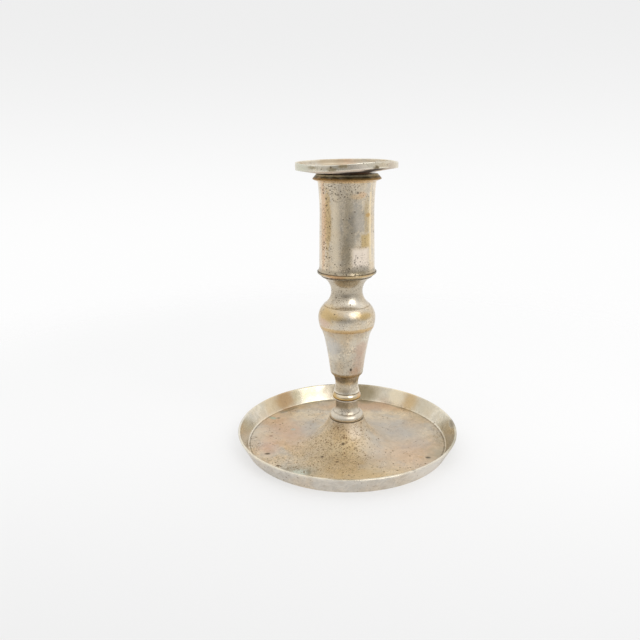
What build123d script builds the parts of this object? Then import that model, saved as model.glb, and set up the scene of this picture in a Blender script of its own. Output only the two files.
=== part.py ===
from build123d import *
import os
from math import cos, hypot, radians, sin

os.makedirs("parts", exist_ok=True)

# A turned brass candlestick, in millimetres. It stands on the table at Z = 0, with its stem up +Z.
# A slotted rod clamps dish, spool, stem, seat and socket together. The drip pan and its collar
# only hang in the socket's mouth, a little crooked, and lift off.

# Spun dish with a leaning wall and a hollow mound
dish_rim_radius = 58.75
dish_foot_radius = 53.9
dish_height = 9.0
dish_wall = 1.2
dish_edge_round = 0.4
dish_crease_round = 0.7
mound_base_radius = 27.0
mound_top_radius = 9.4
mound_height = 14.1

# Foot spool: a ring, a flare, a neck and a thin top ring
foot_ring_radius = 9.0
foot_ring_base_radius = 8.5
foot_ring_crown_radius = 7.2
foot_ring_rise = 3.6
foot_ring_under_rise = 0.9
spool_flare_radius = 7.0
spool_flare_rise = 3.6
spool_neck_radius = 5.85
spool_neck_rise = 3.2
spool_top_ring_radius = 6.3
spool_top_ring_rise = 1.0
spool_top_ring_round = 0.35

# Baluster stem, from its bead up to its cup
bead_radius = 7.45
bead_base_radius = 6.6
bead_crown_radius = 6.8
bead_rise = 4.3
bead_under_rise = 0.9
bead_step = 0.2
waist_radius = 6.03
waist_rise = 4.0
vase_foot_radius = 8.45
vase_foot_rise = 5.5
vase_foot_step = 0.75
vase_foot_round = 0.6
vase_top_radius = 11.6
vase_rise = 20.0
vase_hollow = 0.25
knop_edge_radius = 13.8
shoulder_rise = 5.5
knop_radius = 14.7
knop_lower_rise = 5.2
knop_crown_radius = 12.1
knop_upper_rise = 6.3
knop_line_depth = 0.35
knop_line_width = 0.5
neck_radius = 8.0
neck_rise = 7.0
cup_radius = 13.0
cup_rise = 7.8
cup_edge = 0.5

# Disc between the stem's cup and the socket
seat_radius = 14.95
seat_under_margin = 0.3
seat_under_rise = 1.2
seat_edge = 0.9
seat_round = 0.3

# Socket tube with a flared foot and a moulded lip
socket_bore_radius = 12.0
socket_wall = 1.5
socket_floor = 1.4
socket_foot_margin = 0.35
socket_flare_growth = 0.4
socket_flare_rise = 2.9
socket_waist_rise = 25.3
socket_mouth_growth = 0.83
socket_mouth_rise = 16.0
lip_radius = 17.05
lip_mouth_radius = 14.9
lip_rise = 3.6
lip_edge_level = 1.15
lip_edge_round = 0.45
lip_mouth_round = 0.3

# Loose drip pan and the collar that hangs in the socket
pan_radius = 24.9
pan_floor = 1.0
pan_seat_margin = 1.0
pan_rise = 1.35
pan_rim_height = 3.4
pan_rim_wall = 1.1
pan_edge_round = 0.4
pan_tilt = 1.7
pan_tilt_heading = -25.0
pan_seat_gap = 0.3
collar_play = 0.65
collar_wall = 0.8
collar_length = 9.0
collar_flange_width = 1.6
collar_flange_thickness = 0.8
collar_solder_gap = 0.05
collar_lead_in = 0.3

# Slotted tie rod, washer and square nut
rod_radius = 2.5
rod_clearance = 0.2
rod_head_radius = 5.0
rod_head_height = 2.8
rod_head_round = 0.5
rod_slot_width = 1.2
rod_slot_depth = 1.3
rod_tail = 1.5
rod_tip_chamfer = 0.4
thread_clearance = 0.05
washer_radius = 7.0
washer_thickness = 1.0
nut_flats = 9.0
nut_thickness = 3.6
nut_corner_chamfer = 0.7

# One overrun serves every cut
overrun = 1.0

# Levels of the stacked pieces
spool_base = mound_height
spool_height = foot_ring_rise + spool_flare_rise + spool_neck_rise + spool_top_ring_rise
stem_base = spool_base + spool_height
waist_level = bead_rise + waist_rise
vase_foot_level = waist_level + vase_foot_rise
vase_top_level = vase_foot_level + vase_rise
knop_edge_level = vase_top_level + shoulder_rise
knop_level = knop_edge_level + knop_lower_rise
knop_line_level = knop_level + knop_upper_rise
neck_level = knop_line_level + knop_line_width + neck_rise
cup_level = neck_level + cup_rise
stem_height = cup_level + cup_edge
seat_base = stem_base + stem_height
seat_thickness = seat_under_rise + seat_edge
socket_base = seat_base + seat_thickness
socket_waist_level = socket_flare_rise + socket_waist_rise
lip_base = socket_waist_level + socket_mouth_rise
socket_height = lip_base + lip_rise
socket_top = socket_base + socket_height

# Radii that follow from a fit
rod_hole_radius = rod_radius + rod_clearance
seat_under_radius = cup_radius + seat_under_margin
socket_foot_radius = seat_radius - socket_foot_margin
socket_waist_radius = socket_bore_radius + socket_wall
socket_flare_radius = socket_waist_radius + socket_flare_growth
socket_mouth_radius = socket_waist_radius + socket_mouth_growth
collar_radius = socket_bore_radius - collar_play
collar_bore_radius = collar_radius - collar_wall
pan_hole_radius = collar_radius + collar_solder_gap
pan_seat_radius = lip_mouth_radius + pan_seat_margin

# The pan's crooked axis crosses the socket's axis half way down the collar
tilt = radians(pan_tilt)
heading = radians(pan_tilt_heading)
pan_axis = Vector(-sin(tilt) * cos(heading), -sin(tilt) * sin(heading), cos(tilt))
pan_outward = Vector(cos(tilt) * cos(heading), cos(tilt) * sin(heading), sin(tilt))
pan_level = socket_top + pan_seat_gap + lip_mouth_radius * sin(tilt)
pan_half_hang = collar_length / 2
pan_origin = Vector(pan_axis.X * pan_half_hang, pan_axis.Y * pan_half_hang, pan_level)
pan_turning_plane = Plane(pan_origin, x_dir=pan_outward, z_dir=pan_outward.cross(pan_axis))
pan_turning_axis = Axis(pan_origin, pan_axis)

# Directions along a profile, which is drawn with the radius along X and the height along Y
UP = (0, 1)
DOWN = (0, -1)
INWARD = (-1, 0)


def turning_plane(base):
    """Upright half plane for a turned profile, with its origin on the axis at this height."""
    return Plane(origin=(0, 0, base), x_dir=(1, 0, 0), z_dir=(0, -1, 0))


def corner(profile, radius, height):
    """The vertex of a turned profile that stands at this radius and height."""
    return profile.vertices().sort_by_distance((radius, height))[:1]


# Dish: the floor sweeps up into the mound, and the wall keeps one thickness up to its rim
dish_lean = (dish_rim_radius - dish_foot_radius) / dish_height
dish_wall_across = dish_wall * hypot(dish_lean, 1)
dish_crease_radius = dish_foot_radius + dish_lean * dish_wall - dish_wall_across
dish_mouth_radius = dish_rim_radius - dish_wall_across
mound_under_top = mound_height - dish_wall
mound_under_radius = mound_top_radius - dish_wall
with BuildPart() as drip_tray:
    with BuildSketch(turning_plane(0)) as dish_profile:
        with BuildLine():
            TangentArc((mound_base_radius, 0), (mound_under_radius, mound_under_top), tangent=INWARD)
            Polyline(
                (mound_under_radius, mound_under_top),
                (rod_hole_radius, mound_under_top),
                (rod_hole_radius, mound_height),
                (mound_top_radius, mound_height),
            )
            TangentArc((mound_base_radius, dish_wall), (mound_top_radius, mound_height), tangent=INWARD)
            Polyline(
                (mound_base_radius, dish_wall),
                (dish_crease_radius, dish_wall),
                (dish_mouth_radius, dish_height),
                (dish_rim_radius, dish_height),
                (dish_foot_radius, 0),
                (mound_base_radius, 0),
            )
        make_face()
        fillet(corner(dish_profile, dish_rim_radius, dish_height), dish_edge_round)
        fillet(corner(dish_profile, dish_mouth_radius, dish_height), dish_edge_round)
        fillet(corner(dish_profile, dish_crease_radius, dish_wall), dish_crease_round)
    revolve(axis=Axis.Z)
drip_tray.part.label = "drip_tray"
export_step(drip_tray.part, "parts/drip_tray.step")

# Foot spool: quarter-round ring, hollow flare, straight neck and a thin ring on top
spool_flare_top = foot_ring_rise + spool_flare_rise
spool_ring_level = spool_flare_top + spool_neck_rise
with BuildPart() as foot_spool:
    with BuildSketch(turning_plane(spool_base)) as spool_profile:
        with BuildLine():
            Line((rod_hole_radius, 0), (foot_ring_base_radius, 0))
            TangentArc(
                (foot_ring_radius, foot_ring_under_rise), (foot_ring_base_radius, 0), tangent=DOWN
            )
            TangentArc(
                (foot_ring_radius, foot_ring_under_rise), (foot_ring_crown_radius, foot_ring_rise), tangent=UP
            )
            Line((foot_ring_crown_radius, foot_ring_rise), (spool_flare_radius, foot_ring_rise))
            TangentArc(
                (spool_neck_radius, spool_flare_top), (spool_flare_radius, foot_ring_rise), tangent=DOWN
            )
            Polyline(
                (spool_neck_radius, spool_flare_top),
                (spool_neck_radius, spool_ring_level),
                (spool_top_ring_radius, spool_ring_level),
                (spool_top_ring_radius, spool_height),
                (rod_hole_radius, spool_height),
                (rod_hole_radius, 0),
            )
        make_face()
        fillet(corner(spool_profile, spool_top_ring_radius, spool_height), spool_top_ring_round)
    revolve(axis=Axis.Z)
foot_spool.part.label = "foot_spool"
export_step(foot_spool.part, "parts/foot_spool.step")

# Baluster stem: every moulding starts where the one below it ends
waist_flare_radius = bead_crown_radius - bead_step
vase_under_radius = vase_foot_radius - vase_foot_step
knop_line_root = knop_crown_radius - knop_line_depth
knop_line_middle = knop_line_level + knop_line_width / 2
neck_foot_level = knop_line_level + knop_line_width
with BuildPart() as baluster_stem:
    with BuildSketch(turning_plane(stem_base)) as stem_profile:
        with BuildLine():
            Line((rod_hole_radius, 0), (bead_base_radius, 0))
            TangentArc((bead_radius, bead_under_rise), (bead_base_radius, 0), tangent=DOWN)
            TangentArc((bead_radius, bead_under_rise), (bead_crown_radius, bead_rise), tangent=UP)
            Line((bead_crown_radius, bead_rise), (waist_flare_radius, bead_rise))
            TangentArc((waist_radius, waist_level), (waist_flare_radius, bead_rise), tangent=DOWN)
            TangentArc((waist_radius, waist_level), (vase_under_radius, vase_foot_level), tangent=UP)
            Line((vase_under_radius, vase_foot_level), (vase_foot_radius, vase_foot_level))
            vase = SagittaArc(
                (vase_foot_radius, vase_foot_level), (vase_top_radius, vase_top_level), vase_hollow
            )
            TangentArc(vase @ 1, (knop_edge_radius, knop_edge_level), tangent=vase % 1)
            TangentArc((knop_radius, knop_level), (knop_edge_radius, knop_edge_level), tangent=DOWN)
            TangentArc((knop_radius, knop_level), (knop_crown_radius, knop_line_level), tangent=UP)
            Polyline(
                (knop_crown_radius, knop_line_level),
                (knop_line_root, knop_line_middle),
                (knop_line_root, neck_foot_level),
            )
            TangentArc((neck_radius, neck_level), (knop_line_root, neck_foot_level), tangent=DOWN)
            TangentArc((neck_radius, neck_level), (cup_radius, cup_level), tangent=UP)
            Polyline(
                (cup_radius, cup_level),
                (cup_radius, stem_height),
                (rod_hole_radius, stem_height),
                (rod_hole_radius, 0),
            )
        make_face()
        fillet(corner(stem_profile, vase_foot_radius, vase_foot_level), vase_foot_round)
    revolve(axis=Axis.Z)
baluster_stem.part.label = "baluster_stem"
export_step(baluster_stem.part, "parts/baluster_stem.step")

# Seat disc: a dished underside and a rounded edge that stands out beyond the socket's foot
with BuildPart() as socket_seat:
    with BuildSketch(turning_plane(seat_base)) as seat_profile:
        with BuildLine():
            Polyline(
                (rod_hole_radius, 0),
                (seat_under_radius, 0),
                (seat_radius, seat_under_rise),
                (seat_radius, seat_thickness),
                (rod_hole_radius, seat_thickness),
                close=True,
            )
        make_face()
        fillet(seat_profile.vertices().group_by(Axis.X)[-1], seat_round)
    revolve(axis=Axis.Z)
socket_seat.part.label = "socket_seat"
export_step(socket_seat.part, "parts/socket_seat.step")

# Socket: flared foot, slightly waisted tube, and a lip that stands out below the mouth
socket_taper = (-socket_flare_growth, socket_waist_rise)
with BuildPart() as candle_socket:
    with BuildSketch(turning_plane(socket_base)) as socket_profile:
        with BuildLine():
            Line((rod_hole_radius, 0), (socket_foot_radius, 0))
            TangentArc((socket_flare_radius, socket_flare_rise), (socket_foot_radius, 0), tangent=DOWN)
            Line((socket_flare_radius, socket_flare_rise), (socket_waist_radius, socket_waist_level))
            TangentArc(
                (socket_waist_radius, socket_waist_level),
                (socket_mouth_radius, lip_base),
                tangent=socket_taper,
            )
            Polyline(
                (socket_mouth_radius, lip_base),
                (lip_radius, lip_base + lip_edge_level),
                (lip_mouth_radius, socket_height),
                (socket_bore_radius, socket_height),
                (socket_bore_radius, socket_floor),
                (rod_hole_radius, socket_floor),
                (rod_hole_radius, 0),
            )
        make_face()
        fillet(corner(socket_profile, lip_radius, lip_base + lip_edge_level), lip_edge_round)
        fillet(socket_profile.vertices().group_by(Axis.Y)[-1], lip_mouth_round)
    revolve(axis=Axis.Z)
candle_socket.part.label = "candle_socket"
export_step(candle_socket.part, "parts/candle_socket.step")

# Drip pan: a flat seat round the hole, a shallow rise, and an upright rim
pan_rim_top = pan_rise + pan_rim_height
pan_inner_radius = pan_radius - pan_rim_wall
with BuildPart() as drip_pan:
    with BuildSketch(pan_turning_plane) as pan_profile:
        with BuildLine():
            Polyline(
                (pan_hole_radius, 0),
                (pan_seat_radius, 0),
                (pan_radius, pan_rise),
                (pan_radius, pan_rim_top),
                (pan_inner_radius, pan_rim_top),
                (pan_inner_radius, pan_rise + pan_floor),
                (pan_seat_radius, pan_floor),
                (pan_hole_radius, pan_floor),
                close=True,
            )
        make_face()
        fillet(pan_profile.vertices().group_by(Axis.X)[-1], pan_edge_round)
        fillet(pan_profile.vertices().group_by(Axis.Y)[-1].sort_by(Axis.X)[:1], pan_edge_round)
    revolve(axis=pan_turning_axis)
drip_pan.part.label = "drip_pan"
export_step(drip_pan.part, "parts/drip_pan.step")

# Collar: a tube with a flange that lies on the pan's floor, soldered into the pan's hole
collar_top = pan_floor + collar_flange_thickness
collar_flange_radius = collar_radius + collar_flange_width
with BuildPart() as drip_pan_collar:
    with BuildSketch(pan_turning_plane) as collar_profile:
        with BuildLine():
            Polyline(
                (collar_bore_radius, -collar_length),
                (collar_radius, -collar_length),
                (collar_radius, pan_floor),
                (collar_flange_radius, pan_floor),
                (collar_flange_radius, collar_top),
                (collar_bore_radius, collar_top),
                close=True,
            )
        make_face()
        chamfer(corner(collar_profile, collar_radius, -collar_length), collar_lead_in)
        fillet(corner(collar_profile, collar_flange_radius, collar_top), collar_lead_in)
    revolve(axis=pan_turning_axis)
drip_pan_collar.part.label = "drip_pan_collar"
export_step(drip_pan_collar.part, "parts/drip_pan_collar.step")

# Washer and nut under the mound
washer_base = mound_under_top - washer_thickness
nut_base = washer_base - nut_thickness
with BuildPart() as base_washer:
    with BuildSketch(Plane.XY.offset(washer_base)):
        Circle(washer_radius)
        Circle(rod_hole_radius, mode=Mode.SUBTRACT)
    extrude(amount=washer_thickness)
base_washer.part.label = "base_washer"
export_step(base_washer.part, "parts/base_washer.step")

nut_corner_radius = hypot(nut_flats, nut_flats) / 2
with BuildPart() as base_nut:
    with BuildSketch(Plane.XY.offset(nut_base)):
        Rectangle(nut_flats, nut_flats)
        Circle(rod_radius + thread_clearance, mode=Mode.SUBTRACT)
    extrude(amount=nut_thickness)
    with BuildSketch(turning_plane(nut_base)):
        with BuildLine():
            Polyline(
                (0, 0),
                (nut_corner_radius - nut_corner_chamfer, 0),
                (nut_corner_radius, nut_corner_chamfer),
                (nut_corner_radius, nut_thickness),
                (0, nut_thickness),
                close=True,
            )
        make_face()
    revolve(axis=Axis.Z, mode=Mode.INTERSECT)
base_nut.part.label = "base_nut"
export_step(base_nut.part, "parts/base_nut.step")

# Tie rod: its head bears on the socket's floor and its tail stands out of the nut
rod_tip_level = nut_base - rod_tail
head_base = socket_base + socket_floor
head_top = head_base + rod_head_height
with BuildPart() as tie_rod:
    with BuildSketch(Plane.XY.offset(rod_tip_level)):
        Circle(rod_radius)
    extrude(amount=head_base - rod_tip_level)
    chamfer(tie_rod.faces().sort_by(Axis.Z)[0].edges(), rod_tip_chamfer)
    with BuildSketch(Plane.XY.offset(head_base)):
        Circle(rod_head_radius)
    extrude(amount=rod_head_height)
    fillet(tie_rod.faces().sort_by(Axis.Z)[-1].edges(), rod_head_round)
    with BuildSketch(Plane.XY.offset(head_top - rod_slot_depth)):
        Rectangle(2 * (rod_head_radius + overrun), rod_slot_width)
    extrude(amount=rod_slot_depth + overrun, mode=Mode.SUBTRACT)
tie_rod.part.label = "tie_rod"
export_step(tie_rod.part, "parts/tie_rod.step")

# Levels and directions that the record states
print("stem base", stem_base, "seat", seat_base, "socket", socket_base, "mouth", socket_top)
print("collar bore", collar_bore_radius, "length", collar_length + collar_top)
print("pan origin", pan_origin, "pan axis", pan_axis)
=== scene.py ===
"""Looks of a turned brass candlestick with worn plating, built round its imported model.

Sizes are in millimetres and become metres where a mesh is made. Colours are written as they look on screen.
"""
import logging
import math
from dataclasses import dataclass
from enum import Enum
from typing import ClassVar

import bpy
import numpy as np
from mathutils import Matrix, Vector


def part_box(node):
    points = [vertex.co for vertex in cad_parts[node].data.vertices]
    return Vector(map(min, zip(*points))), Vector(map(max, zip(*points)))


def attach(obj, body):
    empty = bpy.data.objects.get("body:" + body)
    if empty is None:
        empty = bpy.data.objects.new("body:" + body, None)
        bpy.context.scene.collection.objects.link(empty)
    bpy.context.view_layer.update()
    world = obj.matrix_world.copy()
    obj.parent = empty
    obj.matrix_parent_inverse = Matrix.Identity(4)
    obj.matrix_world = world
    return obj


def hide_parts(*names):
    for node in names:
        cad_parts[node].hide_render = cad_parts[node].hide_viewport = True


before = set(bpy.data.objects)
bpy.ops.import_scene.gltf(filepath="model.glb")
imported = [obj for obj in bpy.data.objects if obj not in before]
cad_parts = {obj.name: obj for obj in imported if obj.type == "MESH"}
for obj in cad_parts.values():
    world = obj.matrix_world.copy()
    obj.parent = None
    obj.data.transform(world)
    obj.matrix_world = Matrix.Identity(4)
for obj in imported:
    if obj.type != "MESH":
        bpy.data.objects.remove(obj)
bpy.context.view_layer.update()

MM = 0.001
SAME_SPOT = MM / 1000
SMOOTH_ANGLE = math.radians(38)
LOG = logging.getLogger("candlestick")

Pair = tuple[float, float]
Point = tuple[float, float, float]
Step = tuple[float, float, float, float]
Colour = tuple[int, int, int]
Socket = bpy.types.NodeSocket
Piece = bpy.types.Object

UP: Pair = (0, 1)
INWARD: Pair = (-1, 0)
OUTWARD: Pair = (1, 0)


class Body(Enum):
    """The bodies that pieces ride on."""

    STICK = "stick"
    PAN = "loose_pan"


class Slot(Enum):
    """The record's material slots."""

    DISH = "plated_dish"
    STEM = "plated_stem"
    BRASS = "bare_brass"
    SOCKET = "plated_socket"
    PAN = "plated_pan"
    IRON = "dark_iron"


class Zone(Enum):
    """How a stretch of a turned surface was left: plain, kept bright, or stained."""

    PLAIN = "plain"
    BRIGHT = "bright"
    STAINED = "stained"


class Film(Enum):
    """What a stain is: a tint of the metal, a crust on it, a pit in it, or a field of small pits."""

    TINT = "tint"
    CRUST = "crust"
    PIT = "pit"
    FIELD = "field"


class Shape(Enum):
    """A stain's shape before its edge is torn."""

    ROUND = "round"
    SQUARE = "square"


def linear(colour: Colour) -> tuple[float, float, float, float]:
    """Turns a colour as seen on screen into a shader colour.

    Args:
        colour: red, green and blue from 0 to 255.

    Returns:
        The linear colour with full alpha.
    """
    shares = (c / 255 for c in colour)
    r, g, b = (s / 12.92 if s <= 0.04045 else ((s + 0.055) / 1.055) ** 2.4 for s in shares)
    return r, g, b, 1.0


def grey(value: float) -> tuple[float, float, float, float]:
    """A neutral shader colour of that brightness."""
    return value, value, value, 1.0


class Outline:
    """A turned piece's half section: radius and height, walked with the metal on the left."""

    ARC_STEP = math.radians(5)
    REACH = 0.35
    GENTLE = 0.3
    FULL_TURN = 1.2

    def __init__(self, radius: float, height: float, step: float = 0.8) -> None:
        """Starts the walk.

        Args:
            radius: radius of the first point.
            height: height of the first point.
            step: longest stretch between two points.
        """
        self.points: list[Pair] = [(radius, height)]
        self.zones: list[Zone] = [Zone.PLAIN]
        self.rounds: dict[int, float] = {}
        self.step = step

    def to(self, radius: float, height: float, rounding: float = 0.0, zone: Zone = Zone.PLAIN) -> "Outline":
        """Walks straight to a point.

        Args:
            radius: radius of the point.
            height: height of the point.
            rounding: radius that softens the corner there.
            zone: how this stretch was left.

        Returns:
            This outline.
        """
        r0, h0 = self.points[-1]
        cuts = max(1, math.ceil(math.hypot(radius - r0, height - h0) / self.step))
        shares = [i / cuts for i in range(1, cuts + 1)]
        return self._add([(r0 + (radius - r0) * s, h0 + (height - h0) * s) for s in shares], rounding, zone)

    def arc(self, radius: float, height: float, leaving: Pair | None = None, arriving: Pair | None = None,
            rounding: float = 0.0, zone: Zone = Zone.PLAIN) -> "Outline":
        """Walks along an arc, which is tangent to a direction at one of its ends.

        Args:
            radius: radius of the last point.
            height: height of the last point.
            leaving: direction at the start.
            arriving: direction at the end, if none is given at the start.
            rounding: radius that softens the corner at the end.
            zone: how this stretch was left.

        Returns:
            This outline.
        """
        start, end = self.points[-1], (radius, height)
        if leaving is not None:
            return self._add(self._swing(start, end, leaving)[1:], rounding, zone)
        back = self._swing(end, start, (-arriving[0], -arriving[1]))
        return self._add(back[-2::-1], rounding, zone)

    def _add(self, points: list[Pair], rounding: float, zone: Zone) -> "Outline":
        """Adds points, and notes whether the last one's corner is softened.

        Args:
            points: the points in order.
            rounding: radius that softens the last one's corner.
            zone: how this stretch was left.

        Returns:
            This outline.
        """
        self.points += points
        self.zones += [zone] * len(points)
        if rounding:
            self.rounds[len(self.points) - 1] = rounding
        return self

    def _swing(self, start: Pair, end: Pair, tangent: Pair) -> list[Pair]:
        """Points of the arc from start to end that leaves along tangent.

        Args:
            start: first point.
            end: last point.
            tangent: direction at the first point.

        Returns:
            The points with both ends.
        """
        p, chord = np.array(start), np.subtract(end, start)
        t = np.array(tangent) / np.hypot(*tangent)
        normal = np.array((-t[1], t[0]))
        radius = chord @ chord / (2 * (normal @ chord))
        centre = p + normal * radius
        sweep = 2 * math.atan2(t[0] * chord[1] - t[1] * chord[0], t @ chord)
        cuts = max(2, math.ceil(max(abs(sweep) / self.ARC_STEP, abs(sweep * radius) / self.step)))
        arm, points = p - centre, []
        for i in range(cuts + 1):
            c, s = math.cos(sweep * i / cuts), math.sin(sweep * i / cuts)
            points.append((centre[0] + c * arm[0] - s * arm[1], centre[1] + s * arm[0] + c * arm[1]))
        return points

    def closed(self) -> tuple[list[Pair], list[Zone]]:
        """The whole loop with its corners softened.

        Returns:
            The points in order, without the first one again, and their zones.
        """
        loop, n = self.points[:-1], len(self.points) - 1
        gone, curves = set(), {}
        for i, radius in self.rounds.items():
            corner = np.array(loop[i])
            before, after = corner - loop[i - 1], np.array(loop[(i + 1) % n]) - corner
            bend = math.acos(np.clip(before @ after / np.linalg.norm(before) / np.linalg.norm(after), -1, 1))
            ends = [self._walk_back(loop, i, way, radius * math.tan(bend / 2), gone) for way in (-1, 1)]
            s = np.linspace(0, 1, max(3, math.ceil(bend / self.ARC_STEP / 2)) + 1)[:, None]
            curve = (1 - s) ** 2 * ends[0] + 2 * s * (1 - s) * corner + s ** 2 * ends[1]
            curves[i] = [tuple(p) for p in curve]
        points, zones = [], []
        for i, point in enumerate(loop):
            if i in curves:
                half = len(curves[i]) // 2
                points += curves[i]
                zones += [self.zones[i]] * half + [self.zones[i + 1]] * (len(curves[i]) - half)
            elif i not in gone:
                points.append(point)
                zones.append(self.zones[i])
        return points, zones

    @staticmethod
    def _walk_back(loop: list[Pair], i: int, way: int, length: float, gone: set[int]) -> np.ndarray:
        """Finds the place that lies some length from a corner along the loop.

        Args:
            loop: the points.
            i: the corner.
            way: 1 forwards, -1 backwards.
            length: how far.
            gone: takes in the points that are passed.

        Returns:
            The place.
        """
        here, j = np.array(loop[i]), i
        while True:
            j = (j + way) % len(loop)
            leg = np.array(loop[j]) - here
            reach = float(np.linalg.norm(leg))
            if reach > length:
                return here + leg * length / reach
            gone.add(j)
            length, here = length - reach, np.array(loop[j])

    def shares(self) -> dict[str, np.ndarray]:
        """What the finishes ask about each point: edge, crease, bright zone and stained zone.

        Returns:
            Rows of shares from 0 to 1 by name.
        """
        points, zones = self.closed()
        p = np.array(points)
        before, after = p - np.roll(p, 1, 0), np.roll(p, -1, 0) - p
        turn = np.arctan2(before[:, 0] * after[:, 1] - before[:, 1] * after[:, 0], (before * after).sum(1))
        along = np.concatenate(([0], np.cumsum(np.linalg.norm(after, axis=1))))
        gap = np.abs(along[:-1, None] - along[None, :-1])
        near = np.exp(-0.5 * (np.minimum(gap, along[-1] - gap) / self.REACH) ** 2)
        found = {}
        for word, sign in (("edge", 1), ("crease", -1)):
            total = near @ np.clip(turn * sign, 0, None)
            found[word] = np.clip((total - self.GENTLE) / (self.FULL_TURN - self.GENTLE), 0, 1)
        found["bright"] = np.array([zone is Zone.BRIGHT for zone in zones], float)
        found["stained"] = np.array([zone is Zone.STAINED for zone in zones], float)
        return found


@dataclass(frozen=True)
class Contact:
    """A circle round a piece where dirt gathers or, with the edge as its share, where it takes the edge
    colour: rubbed wear, and in the dish's crease a painted highlight.
    """

    radius: float
    height: float
    reach: float = 0.4
    strength: float = 1.0
    share: str = "crease"


def only(piece: Piece) -> None:
    """Selects one piece and nothing else.

    Args:
        piece: the piece.
    """
    bpy.ops.object.select_all(action="DESELECT")
    piece.select_set(True)
    bpy.context.view_layer.objects.active = piece


def turned(name: str, outline: Outline, steps: int, contacts: tuple[Contact, ...] = (), creased: float = 0.4,
           edged: float = 1.0, place: Matrix | None = None) -> Piece:
    """Draws a half section in edit mode, spins it round the upright axis and closes it.

    Args:
        name: name of the piece.
        outline: its half section.
        steps: faces round the axis.
        contacts: where dirt gathers, and where the surface takes the edge colour, for rubbed wear and for
            painted highlights.
        creased: how much dirt its own inner corners hold.
        edged: how much its own outer corners take the edge colour, for rubbed wear and for painted
            highlights.
        place: where the piece stands, if not upright on the axis.

    Returns:
        The piece, at the origin, with its shares as attributes.
    """
    points, _ = outline.closed()
    found = outline.shares()
    found["crease"] *= creased
    found["edge"] *= edged
    for contact in contacts:
        gap = np.hypot(*(np.array(points) - (contact.radius, contact.height)).T)
        near = contact.strength * np.exp(-0.5 * (gap / contact.reach) ** 2)
        found[contact.share] = np.maximum(found[contact.share], near)
    bpy.ops.object.select_all(action="DESELECT")
    start = Vector((points[0][0], 0, points[0][1])) * MM
    bpy.ops.mesh.primitive_plane_add(size=MM, calc_uvs=False, location=start)
    piece = bpy.context.object
    piece.name = piece.data.name = name
    bpy.ops.object.transform_apply(location=True, rotation=True, scale=True)
    bpy.ops.object.mode_set(mode="EDIT")
    bpy.ops.mesh.merge(type="CENTER")
    for (r0, h0), (r1, h1) in zip(points, points[1:]):
        step = ((r1 - r0) * MM, 0, (h1 - h0) * MM)
        bpy.ops.mesh.extrude_region_move(TRANSFORM_OT_translate={"value": step})
    bpy.ops.mesh.select_all(action="SELECT")
    bpy.ops.mesh.edge_face_add()
    bpy.ops.mesh.delete(type="ONLY_FACE")
    bpy.ops.object.mode_set(mode="OBJECT")
    for word, shares in found.items():
        layer = piece.data.attributes.new(word, "FLOAT", "POINT")
        layer.data.foreach_set("value", shares.astype(np.float32))
    bpy.ops.object.mode_set(mode="EDIT")
    bpy.ops.mesh.select_all(action="SELECT")
    bpy.ops.mesh.spin(steps=steps, angle=math.tau, center=(0, 0, 0), axis=(0, 0, 1))
    bpy.ops.mesh.select_all(action="SELECT")
    bpy.ops.mesh.remove_doubles(threshold=SAME_SPOT)
    bpy.ops.mesh.normals_make_consistent(inside=False)
    bpy.ops.object.mode_set(mode="OBJECT")
    if place is not None:
        piece.matrix_world = place
        bpy.ops.object.transform_apply(location=True, rotation=True, scale=True)
    return piece


def spots(piece: Piece) -> np.ndarray:
    """Finds out where a piece's vertices stand.

    Args:
        piece: the piece.

    Returns:
        Their places in millimetres, one row each.
    """
    flat = np.empty(len(piece.data.vertices) * 3, np.float32)
    piece.data.vertices.foreach_get("co", flat)
    return flat.reshape(-1, 3) / MM


def put(piece: Piece, places: np.ndarray) -> None:
    """Moves the piece's vertices to these places, in millimetres."""
    piece.data.vertices.foreach_set("co", (places * MM).astype(np.float32).ravel())
    piece.data.update()


def uneven(piece: Piece, amount: float, grain: float, depth: int = 2) -> None:
    """Makes a surface as uneven as hand-worked metal.

    Args:
        piece: the piece.
        amount: how far the surface moves in all.
        grain: size of the swells.
        depth: how much finer swells ride on them.
    """
    swell = bpy.data.textures.new(piece.name + "_swell", "CLOUDS")
    swell.noise_scale, swell.noise_depth, swell.noise_basis = grain * MM, depth, "ORIGINAL_PERLIN"
    shift = piece.modifiers.new("uneven", "DISPLACE")
    shift.texture, shift.texture_coords, shift.strength, shift.mid_level = swell, "LOCAL", amount * MM, 0.5
    only(piece)
    bpy.ops.object.modifier_apply(modifier=shift.name)


def hand_over(piece: Piece, node: str, body: Body, finish: bpy.types.Material) -> None:
    """Gives a finished piece its shading, its finish and its place in the object.

    Args:
        piece: the piece.
        node: the node that it stands for.
        body: the body that carries it.
        finish: its material.
    """
    only(piece)
    bpy.ops.object.shade_smooth_by_angle(angle=SMOOTH_ANGLE)
    piece.data.materials.clear()
    piece.data.materials.append(finish)
    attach(piece, body.value)
    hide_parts(node)
    LOG.info("%s stands for %s, %d faces", piece.name, node, len(piece.data.polygons))


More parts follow.
